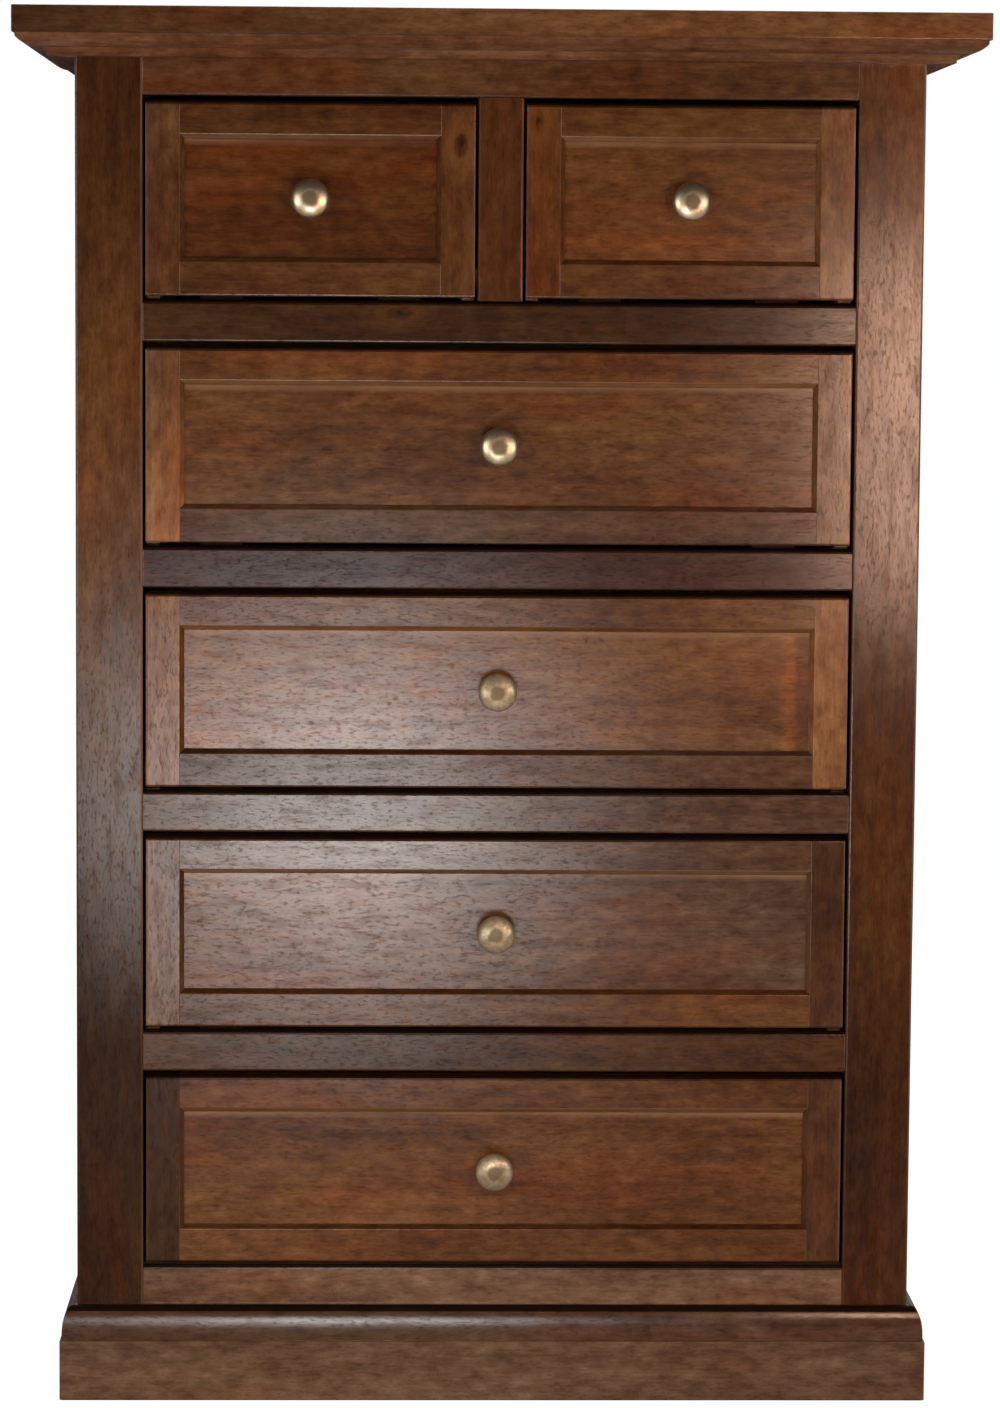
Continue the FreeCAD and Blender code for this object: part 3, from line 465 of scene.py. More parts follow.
# %% Lay the grain
AXES = {"x": (0, 2, 1), "y": (1, 2, 0), "z": (2, 0, 1)}  # along, then across and through
NO_KNOT = (99.0, 99.0, 99.0)  # too far off to show
EDGE = 0.9 * MM  # a face narrower than this is part of an eased arris
LOWEST = 2.5 * MM  # how far up from its foot a board has its lower edges
NO_PAINTED_SHADE = 2.0  # no face looks up more than 1
UPPER_EDGES = 0.05  # faces that look up at least this much get painted shade
FULL, MOST, SOME, TRACE = 1.0, 0.7, 0.4, 0.1  # amounts of painted shade, or of lightening
MARKS = {
    "grain": ("FLOAT_VECTOR", "POINT"), "tone": ("FLOAT_COLOR", "POINT"),
    "knot": ("FLOAT_VECTOR", "POINT"), "arris": ("FLOAT", "FACE"), "painted_shade": ("FLOAT", "FACE"),
}


def edge_light_and_shade(face, narrow, lowest, shade_above, chamfer):
    """How much a face is lightened, as wear and as painted highlight, and how much painted shade
    it gets.
    """
    looks = face.normal
    # Narrow edges get a little wear, and a painted highlight the more they face right and down.
    rub_and_highlight = 1.2 * max(0.0, looks.x - 0.8 * looks.z)
    rub_and_highlight = min(1.0, 0.15 + rub_and_highlight) if narrow else 0.0
    # Front faces that look up past the threshold get painted shade.
    if looks.y < -0.1 and looks.z > shade_above:
        return rub_and_highlight, FULL if looks.z > 0.25 else MOST
    # A chamfer gets painted shade, or below zero a painted highlight.
    if -0.9 < looks.y < -0.5 and not narrow:
        return max(0.0, -chamfer), max(0.0, chamfer)
    # The lowest narrow edges that face down get a trace of lightening and some painted shade.
    if narrow and looks.z < -0.1 and lowest:
        return TRACE, SOME
    return rub_and_highlight, 0.0


def lay_grain(piece, along, colour, knot=NO_KNOT, shade_above=NO_PAINTED_SHADE, chamfer=0.0):
    """Gives every point and face the numbers that the dark wood reads. A threshold says how far
    up a face looks when it gets painted shade; chamfer says how much painted shade a chamfer
    gets, or below zero how much painted highlight."""
    mesh, order = piece.data, AXES[along]
    stops = colour if isinstance(colour, list) else [(0.0, colour)]
    points = [point.co.copy() for point in mesh.vertices]
    middle = sum(points, Vector()) / len(points)
    start = Vector((middle.z * 7.1 + middle.y, middle.x * 5.3 + middle.z, middle.x * 3.7))
    for name, (kind, domain) in MARKS.items():
        mesh.attributes.new(name, kind, domain)
    laid = {name: mesh.attributes[name].data for name in MARKS}
    for number, point in enumerate(points):
        place = Vector([point[axis] for axis in order])
        laid["grain"][number].vector = place + start
        laid["tone"][number].color = tone_at(stops, place.x)
        laid["knot"][number].vector = place - Vector([knot[axis] for axis in order])
    foot = min(point.z for point in points)
    for face in mesh.polygons:
        corners = [points[number] for number in face.vertices]
        longest = max((a - b).length for a, b in zip(corners, corners[1:] + corners[:1]))
        narrow = face.area < EDGE * longest
        lowest = face.center.z < foot + LOWEST
        marks = edge_light_and_shade(face, narrow, lowest, shade_above, chamfer)
        laid["arris"][face.index].value, laid["painted_shade"][face.index].value = marks
    return piece


print("a board carries:", list(MARKS))

# %% [markdown]
# ## Stained and lacquered pine
#
# The case and the drawer fronts are softwood stained walnut brown under a satin lacquer.
# The colour has five layers, each a noise stretched along the grain: slow clouds where the
# stain soaked in more, mottles as wide as a fingertip, long streaks, fine fibres, and open
# pores that hold dark stain. Two slow ones more let it lean to red here and to gold there.
# The lacquer bridges the pores badly, so they also break up the shine. Round a knot the
# fibres bend: the noise is read a little nearer to the knot than the point really is.

# %% Stain and knots
STAIN_STOPS = [
    (0.28, (0.050, 0.0135, 0.0026)),
    (0.44, (0.108, 0.0345, 0.0080)),
    (0.58, (0.170, 0.0615, 0.0160)),
    (0.76, (0.266, 0.1120, 0.0350)),
]
RED_CAST, GOLD_CAST, CAST_SHARE = (1.1, 0.74, 0.5), (1.12, 1.3, 1.2), 0.75
PALE_RING = (0.300, 0.1150, 0.0300)  # the wood round a knot
KNOT_CORE = (0.020, 0.0070, 0.0030)
PORE_BROWN = (0.016, 0.0055, 0.0025)
WEAR_AND_HIGHLIGHT_BROWN = (0.300, 0.160, 0.080)  # wood showing through worn stain, and painted highlight on edges facing right and down
# The colour of the painted shade.
PAINTED_SHADE_BROWN = (0.006, 0.0025, 0.0015)
KNOT_SQUEEZE = (0.55, 1.0, 0.0)  # a knot is longer along the grain
KNOT_REACH, KNOT_PULL = 0.026, -0.8


def bend_grain(finish):
    """Where a point is read in the wood, and how far it is from the knot."""
    lain, knot = finish.carried("grain", "Vector"), finish.carried("knot", "Vector")
    ragged = finish.noise(lain, (160.0, 260.0, 260.0), 3.0, 0.6) * 0.007 - 0.0035
    away = finish.length(finish.vectors("MULTIPLY", knot, KNOT_SQUEEZE)) + ragged
    swirl = 1.0 - finish.step(away, 0.0, KNOT_REACH)
    sockets = {0: knot, "Scale": swirl * KNOT_PULL}
    pull = finish.node("VectorMath", {"operation": "SCALE"}, sockets)
    return finish.vectors("ADD", lain, pull.outputs[0]), away


def stain(finish, grain, streaks, fibres):
    """The colour of the stain by itself, leaning to red and to gold in patches."""
    clouds = finish.noise(grain, (3.5, 11.0, 11.0), 3.0)
    mottle = finish.noise(grain, (45.0, 95.0, 95.0), 3.0, 0.6)
    depth = streaks * 0.28 + fibres * 0.20 + clouds * 0.44 + mottle * 0.52 - 0.22
    brown = finish.ramp(depth, STAIN_STOPS)
    red = finish.step(finish.noise(grain, (5.0, 19.0, 19.0), 2.0), 0.45, 0.75)
    brown = finish.blend(red * CAST_SHARE, brown, RED_CAST, "MULTIPLY")
    gold = finish.step(finish.noise(grain, (6.0, 15.0, 15.0), 3.0), 0.50, 0.75)
    return finish.blend(gold * CAST_SHARE, brown, GOLD_CAST, "MULTIPLY")


print("the stain has", len(STAIN_STOPS), "depths")


# %% The dark wood
def stained_pine():
    finish = Finish(bpy.data.materials.new("dark_stained_pine"))
    grain, away = bend_grain(finish)
    streaks = finish.noise(grain, (2.2, 55.0, 55.0), 4.0, 0.6)
    fibres = finish.noise(grain, (30.0, 380.0, 380.0), 3.0, 0.65)
    pores = finish.step(finish.noise(grain, (150.0, 430.0, 430.0), 2.0, 0.6), 0.50, 0.68)
    dull = finish.step(finish.noise(grain, (26.0, 110.0, 110.0), 4.0, 0.65), 0.42, 0.72)
    halo = finish.step(away, 0.004, 0.008) - finish.step(away, 0.008, 0.024)
    core = 1.0 - finish.step(away, 0.0005, 0.0032)
    arris, painted_shade = finish.carried("arris"), finish.carried("painted_shade")
    # Wear and painted highlight on narrow edges, and the pale band along each panel's head.
    wear_and_highlight = (arris + finish.carried("pale_head")) * (finish.step(streaks, 0.30, 0.60) * 0.6 + 0.2)

    brown = finish.blend(halo * 0.45, stain(finish, grain, streaks, fibres), PALE_RING)
    brown = finish.blend(1.0, brown, finish.carried("tone", "Color"), "MULTIPLY")
    brown = finish.blend(pores * 0.20, brown, PORE_BROWN)
    brown = finish.blend(core * 0.8, brown, KNOT_CORE)
    brown = finish.blend(wear_and_highlight, brown, WEAR_AND_HIGHLIGHT_BROWN)
    # Painted shade on upper edges, lowest edges, chamfers and the plinth top.
    brown = finish.blend(painted_shade * 0.93, brown, PAINTED_SHADE_BROWN)

    # Less lacquer on worn edges, and on painted shade so that it stays dark.
    shine_taken = arris * 0.55 + painted_shade * 0.90
    lacquer = (1.0 - pores * 0.55) * (1.0 - dull * 0.45) * (1.0 - shine_taken)
    return finish.surface(
        {
            "Base Color": brown,
            "Roughness": 0.50 + pores * 0.25,
            "Specular IOR Level": 0.02,
            "Coat Weight": lacquer * finish.carried("tone", "Alpha"),
            "Coat Roughness": 0.20,
            "Coat IOR": 1.5,
            "Normal": finish.bump(0.20, 0.0005, fibres * 0.5 - pores),
        }
    )


DARK_WOOD = stained_pine()
print(DARK_WOOD.name, "has", len(DARK_WOOD.node_tree.nodes), "nodes")

# %% [markdown]
# ## Finishing a piece
#
# Every piece ends in the same three steps. It rides on the body that carries it, so a
# drawer's front leaves with its drawer. It stands for the plain CAD solid, which is then
# hidden. And it gets the slot of the material it is made of.

# %% Hand a piece over
def hand_over(piece, body, nodes, material):
    piece.data.materials.clear()
    piece.data.materials.append(material)
    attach(piece, body)
    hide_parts(*nodes)


def hand_over_dark(piece, body, *nodes):
    hand_over(piece, body, nodes, DARK_WOOD)


# %% [markdown]
# ## Top board
#
# A single wide board lies over the case and its moulding, with its grain from side to side.
# Its arrises are eased a little more than elsewhere, because hands and vases meet them.

# %% Make the top
low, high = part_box("top_board")
top = block("top", low, high)
round_front(top, [(2, level, 1.5 * MM) for level in (low.z, high.z)])
ease(top, 1.2 * MM)
lay_grain(top, "x", [(low.x, honey(0.46)), (high.x, honey(1.30))])
hand_over_dark(top, "case", "top_board")
print("top:", in_mm(top.dimensions))

# %% [markdown]
# ## Posts
#
# Four posts run from the floor to the top board. The front ones are plain square stock.
# The rear ones have a rebate for the plywood back, so their section is an L. It is drawn
# from corner to corner, closed to a face, and pulled out to the length of the board.

# %% Draw a section and pull it out
def draw(points):
    """A flat outline with corners at the points, left open in edit mode, all selected."""
    deselect()
    bpy.ops.mesh.primitive_plane_add(size=1 * MM, location=points[0])
    mode("EDIT")
    bpy.ops.mesh.merge(type="CENTER")
    for here, there in zip(points, points[1:]):
        move = {"value": Vector(there) - Vector(here)}
        bpy.ops.mesh.extrude_region_move(TRANSFORM_OT_translate=move)
    bpy.ops.mesh.select_all(action="SELECT")


def face_outwards():
    """Turns every face of the open mesh outwards, and closes edit mode."""
    bpy.ops.mesh.select_all(action="SELECT")
    bpy.ops.mesh.normals_make_consistent(inside=False)
    mode("OBJECT")


def pull_out(name, points, length):
    """A board with a drawn section, pulled out along the vector length."""
    draw(points)
    bpy.ops.mesh.edge_face_add()
    bpy.ops.mesh.extrude_region_move(TRANSFORM_OT_translate={"value": length})
    face_outwards()
    return settle(name)


# %% Make the posts
SOFT_ROUND = 2.0 * MM  # radius of a front edge that is only softened
POST_TONES = {
    "left": [
        (0.10, walnut(0.34, 0.4)), (0.34, walnut(0.25, 0.25)), (0.55, walnut(0.50)),
        (0.95, walnut(0.85)), (1.25, rust(0.44)),
    ],
    "right": [
        (0.10, rust(0.50, 0.45)), (0.30, rust(0.38, 0.45)), (0.70, rust(0.52, 0.8)),
        (1.20, walnut(0.88)),
    ],
}
BACK_REBATE = 12 * MM
left_post, right_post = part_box("front_post_left"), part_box("front_post_right")
rear_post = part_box("rear_post_right")
panel_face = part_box("back_panel")[0].y
for hand, side in HANDS.items():
    low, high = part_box(f"front_post_{hand}")
    post = block(f"post_front_{hand}", low, high)
    round_front(post, [(0, level, SOFT_ROUND) for level in (low.x, high.x)])
    ease(post, 1.0 * MM)
    score_stops(post, 2, POST_TONES[hand])
    lay_grain(post, "z", POST_TONES[hand])
    hand_over_dark(post, "case", f"front_post_{hand}")

    low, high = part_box(f"rear_post_{hand}")
    outer, inner = (low.x, high.x) if side < 0 else (high.x, low.x)
    step = inner + side * BACK_REBATE
    section = [(outer, low.y), (inner, low.y), (inner, panel_face), (step, panel_face)]
    section += [(step, high.y), (outer, high.y)]
    corners = [(x, y, low.z) for x, y in section]
    post = pull_out(f"post_rear_{hand}", corners, (0, 0, high.z - low.z))
    ease(post, 1.0 * MM)
    lay_grain(post, "z", walnut(0.75))
    hand_over_dark(post, "case", f"rear_post_{hand}")
    print("posts", hand, in_mm(post.dimensions))

# %% [markdown]
# ## Rails and muntin
#
# The rails between the drawers are let into the posts, and the muntin stands between the
# short drawers. The upper front edge of a rail is rounded well over and gets painted shade,
# which makes the gap over it look wider and darker than it is. What shows is the length
# between the shoulders, so each block is made that long.

# %% Make the rails and the muntin
RAIL_TONES = {
    "top_rail": honey(0.75),
    "drawer_rail_1": walnut(0.40),
    "drawer_rail_2": grape(0.42),
    "drawer_rail_3": [(-0.33, plum(0.85, 0.82)), (0.33, smoke(1.02, 0.82))],
    "drawer_rail_4": walnut(0.54, 0.8),
    "bottom_rail": smoke(1.60, 0.8),
}
RAIL_KNOTS = {"drawer_rail_1": (-0.094, -0.170, 1.0315)}
TOP_ROUND = 4.5 * MM
opening_left, opening_right = left_post[1].x, right_post[0].x
for name, colour in RAIL_TONES.items():
    low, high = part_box(name)
    rail = block(f"{name}_board", (opening_left, low.y, low.z), (opening_right, high.y, high.z))
    round_front(rail, [(2, high.z, TOP_ROUND), (2, low.z, SOFT_ROUND)])
    ease(rail, 0.8 * MM)
    # Its rounded upper edge gets painted shade.
    lay_grain(rail, "x", colour, RAIL_KNOTS.get(name, NO_KNOT), UPPER_EDGES)
    hand_over_dark(rail, "case", name)

low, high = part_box("centre_muntin")
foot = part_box("drawer_rail_1")[1].z
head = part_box("top_rail")[0].z
muntin = block("muntin", (low.x, low.y, foot), (high.x, high.y, head))
round_front(muntin, [(0, level, SOFT_ROUND) for level in (low.x, high.x)])
ease(muntin, 0.8 * MM)
lay_grain(muntin, "z", rust(0.58))
hand_over_dark(muntin, "case", "centre_muntin")
print("rails and muntin:", in_mm(rail.dimensions), in_mm(muntin.dimensions))

# %% [markdown]
# ## Sides
#
# Each side is a frame too: three rails between the posts, and a flat panel in each of the
# two openings. The panels sit in grooves, so they reach a little way into the frame.

# %% Make the side frames and panels
SIDE_TOP, SIDE_MIDDLE, SIDE_LOW = 85 * MM, 75 * MM, 120 * MM
GROOVE, PANEL_THICK = 7 * MM, 8 * MM
front_edge, rear_edge = right_post[1].y, rear_post[0].y
panel_low, panel_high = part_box("side_panels")
side_panels = []
for hand, side in HANDS.items():
    low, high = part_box(f"side_rails_{hand}")
    middle = (low.z + high.z - SIDE_MIDDLE) / 2
    heights = [(high.z - SIDE_TOP, high.z), (middle, middle + SIDE_MIDDLE)]
    heights.append((low.z, low.z + SIDE_LOW))
    rails = []
    for number, (foot, head) in enumerate(heights):
        rail = block(f"side_rail_{number}", (low.x, front_edge, foot), (high.x, rear_edge, head))
        ease(rail, 0.8 * MM)
        rails.append(lay_grain(rail, "y", walnut(0.72 + 0.05 * number)))
    hand_over_dark(join(f"side_frame_{hand}", rails), "case", f"side_rails_{hand}")

    face = panel_high.x if side > 0 else panel_low.x
    across = sorted((face, face - side * PANEL_THICK))
    for (_, head), (foot, _) in zip(heights[1:], heights):
        corner = (across[0], front_edge - GROOVE, head - GROOVE)
        far_corner = (across[1], rear_edge + GROOVE, foot + GROOVE)
        panel = block("side_panel", corner, far_corner)
        ease(panel, 0.6 * MM)
        side_panels.append(lay_grain(panel, "z", walnut(0.85)))
panels = join("side_panel_boards", side_panels)
hand_over_dark(panels, "case", "side_panels")
print("side panels:", len(side_panels), "boards,", len(panels.data.polygons), "faces")

# %% [markdown]
# ## Mouldings
#
# The moulding under the top board has a flat lip, a shallow cove, a slope and a fillet. The
# one over the plinth is a quarter round that is taller than it is deep. Both are long runs
# with one section, pulled out past the front corners and then sawn off at 45 degrees, as in
# a mitre box. Less lacquer reaches the side runs.

# %% Draw the curves
def hollow(start, end, depth, steps):
    """Points on a shallow arc from start to end, bulging by depth to the left of the way."""
    start, end = Vector(start), Vector(end)
    chord = end - start
    radius = (chord.length_squared / 4 + depth * depth) / (2 * depth)
    aside = Vector((-chord.y, chord.x)).normalized()
    centre = (start + end) / 2 + aside * (depth - radius)
    half = math.asin(min(1.0, chord.length / 2 / radius))
    points = []
    for number in range(steps + 1):
        angle = half - 2 * half * number / steps
        offset = aside * math.cos(angle) * radius - chord.normalized() * math.sin(angle) * radius
        points.append(tuple(centre + offset))
    return points


def quarter(middle, wide, high, steps):
    """Points on a quarter of an ellipse round its middle, from the side to the top."""
    angles = [math.radians(90 * number / steps) for number in range(steps + 1)]
    return [(middle[0] + wide * math.cos(a), middle[1] + high * math.sin(a)) for a in angles]


# The corners of a section say how far out from the case they are, and how high.
LIP_HIGH, COVE_DEPTH = 3.5 * MM, 2.6 * MM
FILLET_OUT, FILLET_FOOT, FILLET_TOP = 24.5 * MM, -19.5 * MM, -16 * MM
case_side, case_face, case_back = right_post[1].x, right_post[0].y, rear_post[1].y
cornice_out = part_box("cornice_moulding")[1].x - case_side
cove = hollow((30 * MM, -12 * MM), (cornice_out, -LIP_HIGH), -COVE_DEPTH, 8)
CORNICE = [(0, 0), (0, FILLET_FOOT), (FILLET_OUT, FILLET_FOOT), (FILLET_OUT, FILLET_TOP)]
CORNICE += [(28.25 * MM, -12 * MM), *cove, (cornice_out, 0)]

PLINTH_ROUND = [(out * MM, up * MM) for out, up in quarter((3.5, 6), 10.5, 26.5, 10)]
PLINTH = [(0, 0), (14 * MM, 0), *PLINTH_ROUND, (0, 32.5 * MM)]
BASE_HIGH, BASE_THICK = 57.5 * MM, 16 * MM
BASE = [(0, 0), (BASE_THICK, 0), (BASE_THICK, BASE_HIGH), (0, BASE_HIGH)]
print("corners drawn:", len(CORNICE), "cornice,", len(PLINTH), "plinth moulding")

# %% Pull the mouldings out and mitre them
TOP_THICK = 25 * MM
SIDE_SHINE = 0.1  # share of the front run's shine
SMOOTH = math.radians(24)  # a curve turns less than this from facet to facet


def saw(piece, point, normal):
    """Cuts off what lies on the far side of a plane, and closes the cut."""
    cut(piece, point, normal, use_fill=True, clear_outer=True)


def moulding(name, section, level, colour, eased=0, shade_above=NO_PAINTED_SHADE):
    """Three runs with the same section, round the front and both sides."""
    reach = max(out for out, _ in section)
    start = -case_side - 2 * reach
    corners = [(start, case_face - out, level + up) for out, up in section]
    front = pull_out(f"{name}_front", corners, (-2 * start, 0, 0))
    saw(front, (case_side, case_face, 0), (1, 1, 0))
    saw(front, (-case_side, case_face, 0), (-1, 1, 0))
    runs = [(front, "x", colour)]
    thin = (*colour[:3], colour[3] * SIDE_SHINE)
    ahead = case_face - 2 * reach
    for hand, side in HANDS.items():
        corners = [(side * (case_side + out), ahead, level + up) for out, up in section]
        run = pull_out(f"{name}_{hand}", corners, (0, case_back - case_face + 2 * reach, 0))
        saw(run, (side * case_side, case_face, 0), (-side, -1, 0))
        runs.append((run, "y", thin))
    for run, along, finish in runs:
        if eased:
            ease(run, eased)
        lay_grain(run, along, finish, NO_KNOT, shade_above)
    whole = join(name, [run for run, _, _ in runs])
    take(whole)
    bpy.ops.object.shade_smooth_by_angle(angle=SMOOTH)
    return whole


cornice = moulding("cornice", CORNICE, cad_high.z - TOP_THICK, plum(1.20, 0.5))
hand_over_dark(cornice, "case", "cornice_moulding")
# The top of the plinth round gets a painted shadow line under the case.
plinth = moulding("plinth_round", PLINTH, BASE_HIGH, plum(0.65), shade_above=0.5)
hand_over_dark(plinth, "case", "plinth_moulding")
base = moulding("plinth", BASE, 0, smoke(1.32, 0.9), 1.0 * MM)
hand_over_dark(base, "case", "plinth_boards")
print("faces:", [len(piece.data.polygons) for piece in (cornice, plinth, base)])

# %% [markdown]
# ## Drawer fronts
#
# A drawer front is a small door: two stiles at full height, two rails between them, and a
# thin panel that floats in a groove. The inner edge of the frame is chamfered, and the
# chamfers meet in a mitre. Each stick is drawn as it shows from the front, with the short
# 45 degree cuts already in it, and pulled out to its thickness. Then the line where the
# chamfer starts is scored, and the inner front edge is pushed back, which tilts that strip.

# %% Make a framed stick
FACE = 31.5 * MM  # flat part of a stile or rail
LIP = 4.3 * MM  # width of the chamfer
CHAMFER = 4.5 * MM  # its depth
THICK = 20 * MM


def frame_stick(name, low, high, axis, side):
    """One stick of a front between two corners: a stile, axis 0, or a rail, axis 2, at its
    high side, 1, or its low side, -1."""
    outer = high[axis] if side > 0 else low[axis]
    fold, inner = outer - side * FACE, outer - side * (FACE + LIP)  # here the chamfer runs
    start, end = low[2 - axis], high[2 - axis]
    shown = [(fold, start + FACE), (inner, start + FACE + LIP)]
    shown += [(inner, end - FACE - LIP), (fold, end - FACE)]
    if axis == 0:
        profile = [(outer, start), (fold, start), *shown, (fold, end), (outer, end)]
        rims = [(2, end, TOP_ROUND), (2, start, SOFT_ROUND), (0, outer, SOFT_ROUND)]
    else:
        profile = [(level, across) for across, level in shown]
        profile = [(start + FACE, outer), *profile, (end - FACE, outer)]
        rims = [(2, outer, TOP_ROUND if side > 0 else SOFT_ROUND)]
    board = pull_out(name, [(x, low.y, z) for x, z in profile], (0, THICK, 0))
    score_across(board, axis, [fold])
    front = min(corner.co.y for corner in board.data.vertices)
    for corner in board.data.vertices:
        at_front = abs(corner.co.y - front) < NEAR
        corner.select = at_front and abs(corner.co[axis] - inner) < NEAR
    mode("EDIT")
    bpy.ops.transform.translate(value=(0, CHAMFER, 0))
    mode("OBJECT")
    round_front(board, rims)
    ease(board, 0.5 * MM)
    return board


print("frame stock is", round((FACE + LIP) / MM, 1), "mm wide with its chamfer")

# %% [markdown]
# ## Drawer boxes
#
# Behind its front a drawer is a box of bare pine. Its sides end in three dovetails that are
# let into the back of the stiles. The drawer side itself cuts the sockets in the stiles,
# with a Boolean, so the two can't disagree.

# %% Make the sides and the back of a drawer
BOX_THICK = 12 * MM
TAILS, TAIL_LENGTH = 3, 13 * MM
TAIL_MARGIN, TAIL_GAP, TAIL_FLARE = 8 * MM, 9 * MM, 2.2 * MM
HOUSING = 5 * MM  # how deep the back sits in the sides
BACK_SETBACK, BACK_THICK = 10 * MM, 12 * MM
BACK_RAISED, BACK_LOWERED = 18 * MM, 10 * MM  # how far it stays clear of their foot and top


def drawer_side(name, low, high, side):
    """A side board with its dovetails, drawn as it looks from outside."""
    shoulder = low.y + TAIL_LENGTH
    pitch = (high.z - low.z - 2 * TAIL_MARGIN) / TAILS
    wide = (pitch - TAIL_GAP) / 2
    profile = [(shoulder, low.z), (high.y, low.z), (high.y, high.z), (shoulder, high.z)]
    for number in reversed(range(TAILS)):
        middle = low.z + TAIL_MARGIN + (number + 0.5) * pitch
        profile += [(shoulder, middle + wide - TAIL_FLARE), (low.y, middle + wide)]
        profile += [(low.y, middle - wide), (shoulder, middle - wide + TAIL_FLARE)]
    outer = high.x if side > 0 else low.x
    return pull_out(name, [(outer, y, z) for y, z in profile], (-side * BOX_THICK, 0, 0))


def drawer_back(name, low, high):
    """The back board, housed in the sides and lower than they are."""
    inset = BOX_THICK - HOUSING
    foot = (low.x + inset, high.y - BACK_SETBACK - BACK_THICK, low.z + BACK_RAISED)
    return block(name, foot, (high.x - inset, high.y - BACK_SETBACK, high.z - BACK_LOWERED))


def cut_out(board, cutter):
    """Cuts the shape of one piece out of another."""
    apply_modifier(board, "BOOLEAN", object=cutter, operation="DIFFERENCE", solver="EXACT")


print("dovetails on each drawer side:", TAILS)

# %% [markdown]
# ## Bare woods and metals
#
# Inside, the drawer boxes and runners are bare pine, the bottoms and the back are thin
# plywood, the screws are steel. Only the stops behind the fronts are painted dark, as shade,
# so they don't flash through the gaps. The knobs are brass, bright on the rim, while the
# middle of the face is olive: partly tarnish, partly a painted dark reflection of the room.
# A number on each point tells the two apart. Boards that were made here carry their own
# grain. The ones that come straight from CAD are read by their place, along a named axis.

# %% Pine, plywood, brass and steel
def by_grain(axis, slow, fast):
    """Noise fineness: slow along the named axis, fast across it."""
    return tuple(slow if name == axis else fast for name in "xyz")


def evenly(fineness):
    return (fineness,) * 3


def plain_wood(name, axis, pale, ring, carried=False, rings_across=46.0):
    """Unstained wood: its two colours, and how fine its growth rings are across the grain."""
    finish = Finish(bpy.data.materials.new(name))
    place = finish.carried("grain", "Vector") if carried else finish.place()
    rings = finish.noise(place, by_grain(axis, rings_across / 35, rings_across), 3.0, 0.55)
    fibres = finish.noise(place, by_grain(axis, 16.0, 620.0), 2.0, 0.6)
    clouds = finish.noise(place, evenly(5.0), 2.0)
    figure = finish.step(rings + fibres * 0.25 + clouds * 0.2, 0.55, 0.92)
    colour = finish.blend(figure, pale, ring)
    return finish.surface(
        {
            "Base Color": finish.blend(fibres * 0.35, colour, tuple(0.62 * part for part in ring)),
            "Roughness": 0.62 + fibres * 0.15,
            "Specular IOR Level": 0.3,
            "Normal": finish.bump(0.2, 0.0003, fibres),
        }
    )


def metal(name, bright, dull, smooth, rough, tarnish_and_shade=None):
    """Metal with a clouded skin, and dull olive where the piece's own number for tarnish and
    painted dark reflection is 1.
    """
    finish = Finish(bpy.data.materials.new(name))
    place = finish.place()
    clouded = finish.step(finish.noise(place, evenly(110.0), 4.0, 0.6), 0.35, 0.72)
    grit = finish.noise(place, evenly(1500.0), 2.0, 0.5)
    colour = finish.blend(clouded, bright, dull)
    whole, roughness = 1.0, clouded * (rough - smooth) + smooth
    if tarnish_and_shade:
        patina_and_shade = finish.step(finish.carried("patina_and_shade") + clouded * 0.25, 0.20, 1.05)
        colour = finish.blend(patina_and_shade, colour, tarnish_and_shade)
        whole, roughness = 1.0 - patina_and_shade * 0.9, roughness + patina_and_shade * 0.1
    sockets = {"Base Color": colour, "Metallic": whole, "Roughness": roughness}
    return finish.surface({**sockets, "Normal": finish.bump(0.06, 0.0002, grit)})


PINE = (0.66, 0.46, 0.26), (0.50, 0.29, 0.12)
PLY = (0.62, 0.45, 0.27), (0.44, 0.27, 0.13)
SHADE_BROWNS = (0.060, 0.022, 0.008), (0.035, 0.012, 0.004)
BOX_PINE = plain_wood("bare_pine_boards", "x", *PINE, carried=True)
RUNNER_PINE = plain_wood("bare_pine_lengthways", "y", *PINE)
CROSS_PINE = plain_wood("bare_pine_crossways", "x", *PINE)
# The stops are painted dark, as shade, instead of their bare pine.
STOP_SHADE = plain_wood("stops_painted_dark", "x", *SHADE_BROWNS)
PLYWOOD = plain_wood("plywood_sheet", "x", *PLY, rings_across=85.0)
# Olive of the knob faces: tarnish together with a painted dark reflection.
OLIVE_TARNISH_AND_SHADE = (0.165, 0.106, 0.038)
BRASS = metal("satin_brass", (0.72, 0.56, 0.37), (0.50, 0.38, 0.22), 0.32, 0.40, OLIVE_TARNISH_AND_SHADE)
STEEL = metal("steel_screws", (0.62, 0.62, 0.63), (0.42, 0.42, 0.43), 0.28, 0.45)
print("finishes:", sorted(material.name for material in bpy.data.materials if material.users))

# %% [markdown]
# ## Knobs
#
# The spin operator is a lathe: half of the outline is drawn on one side of the axis and
# carried round it. A knob has a small foot, a waisted neck and a head whose low crown is
# half an ellipse. A steel screw with a slotted head comes through the panel from inside.

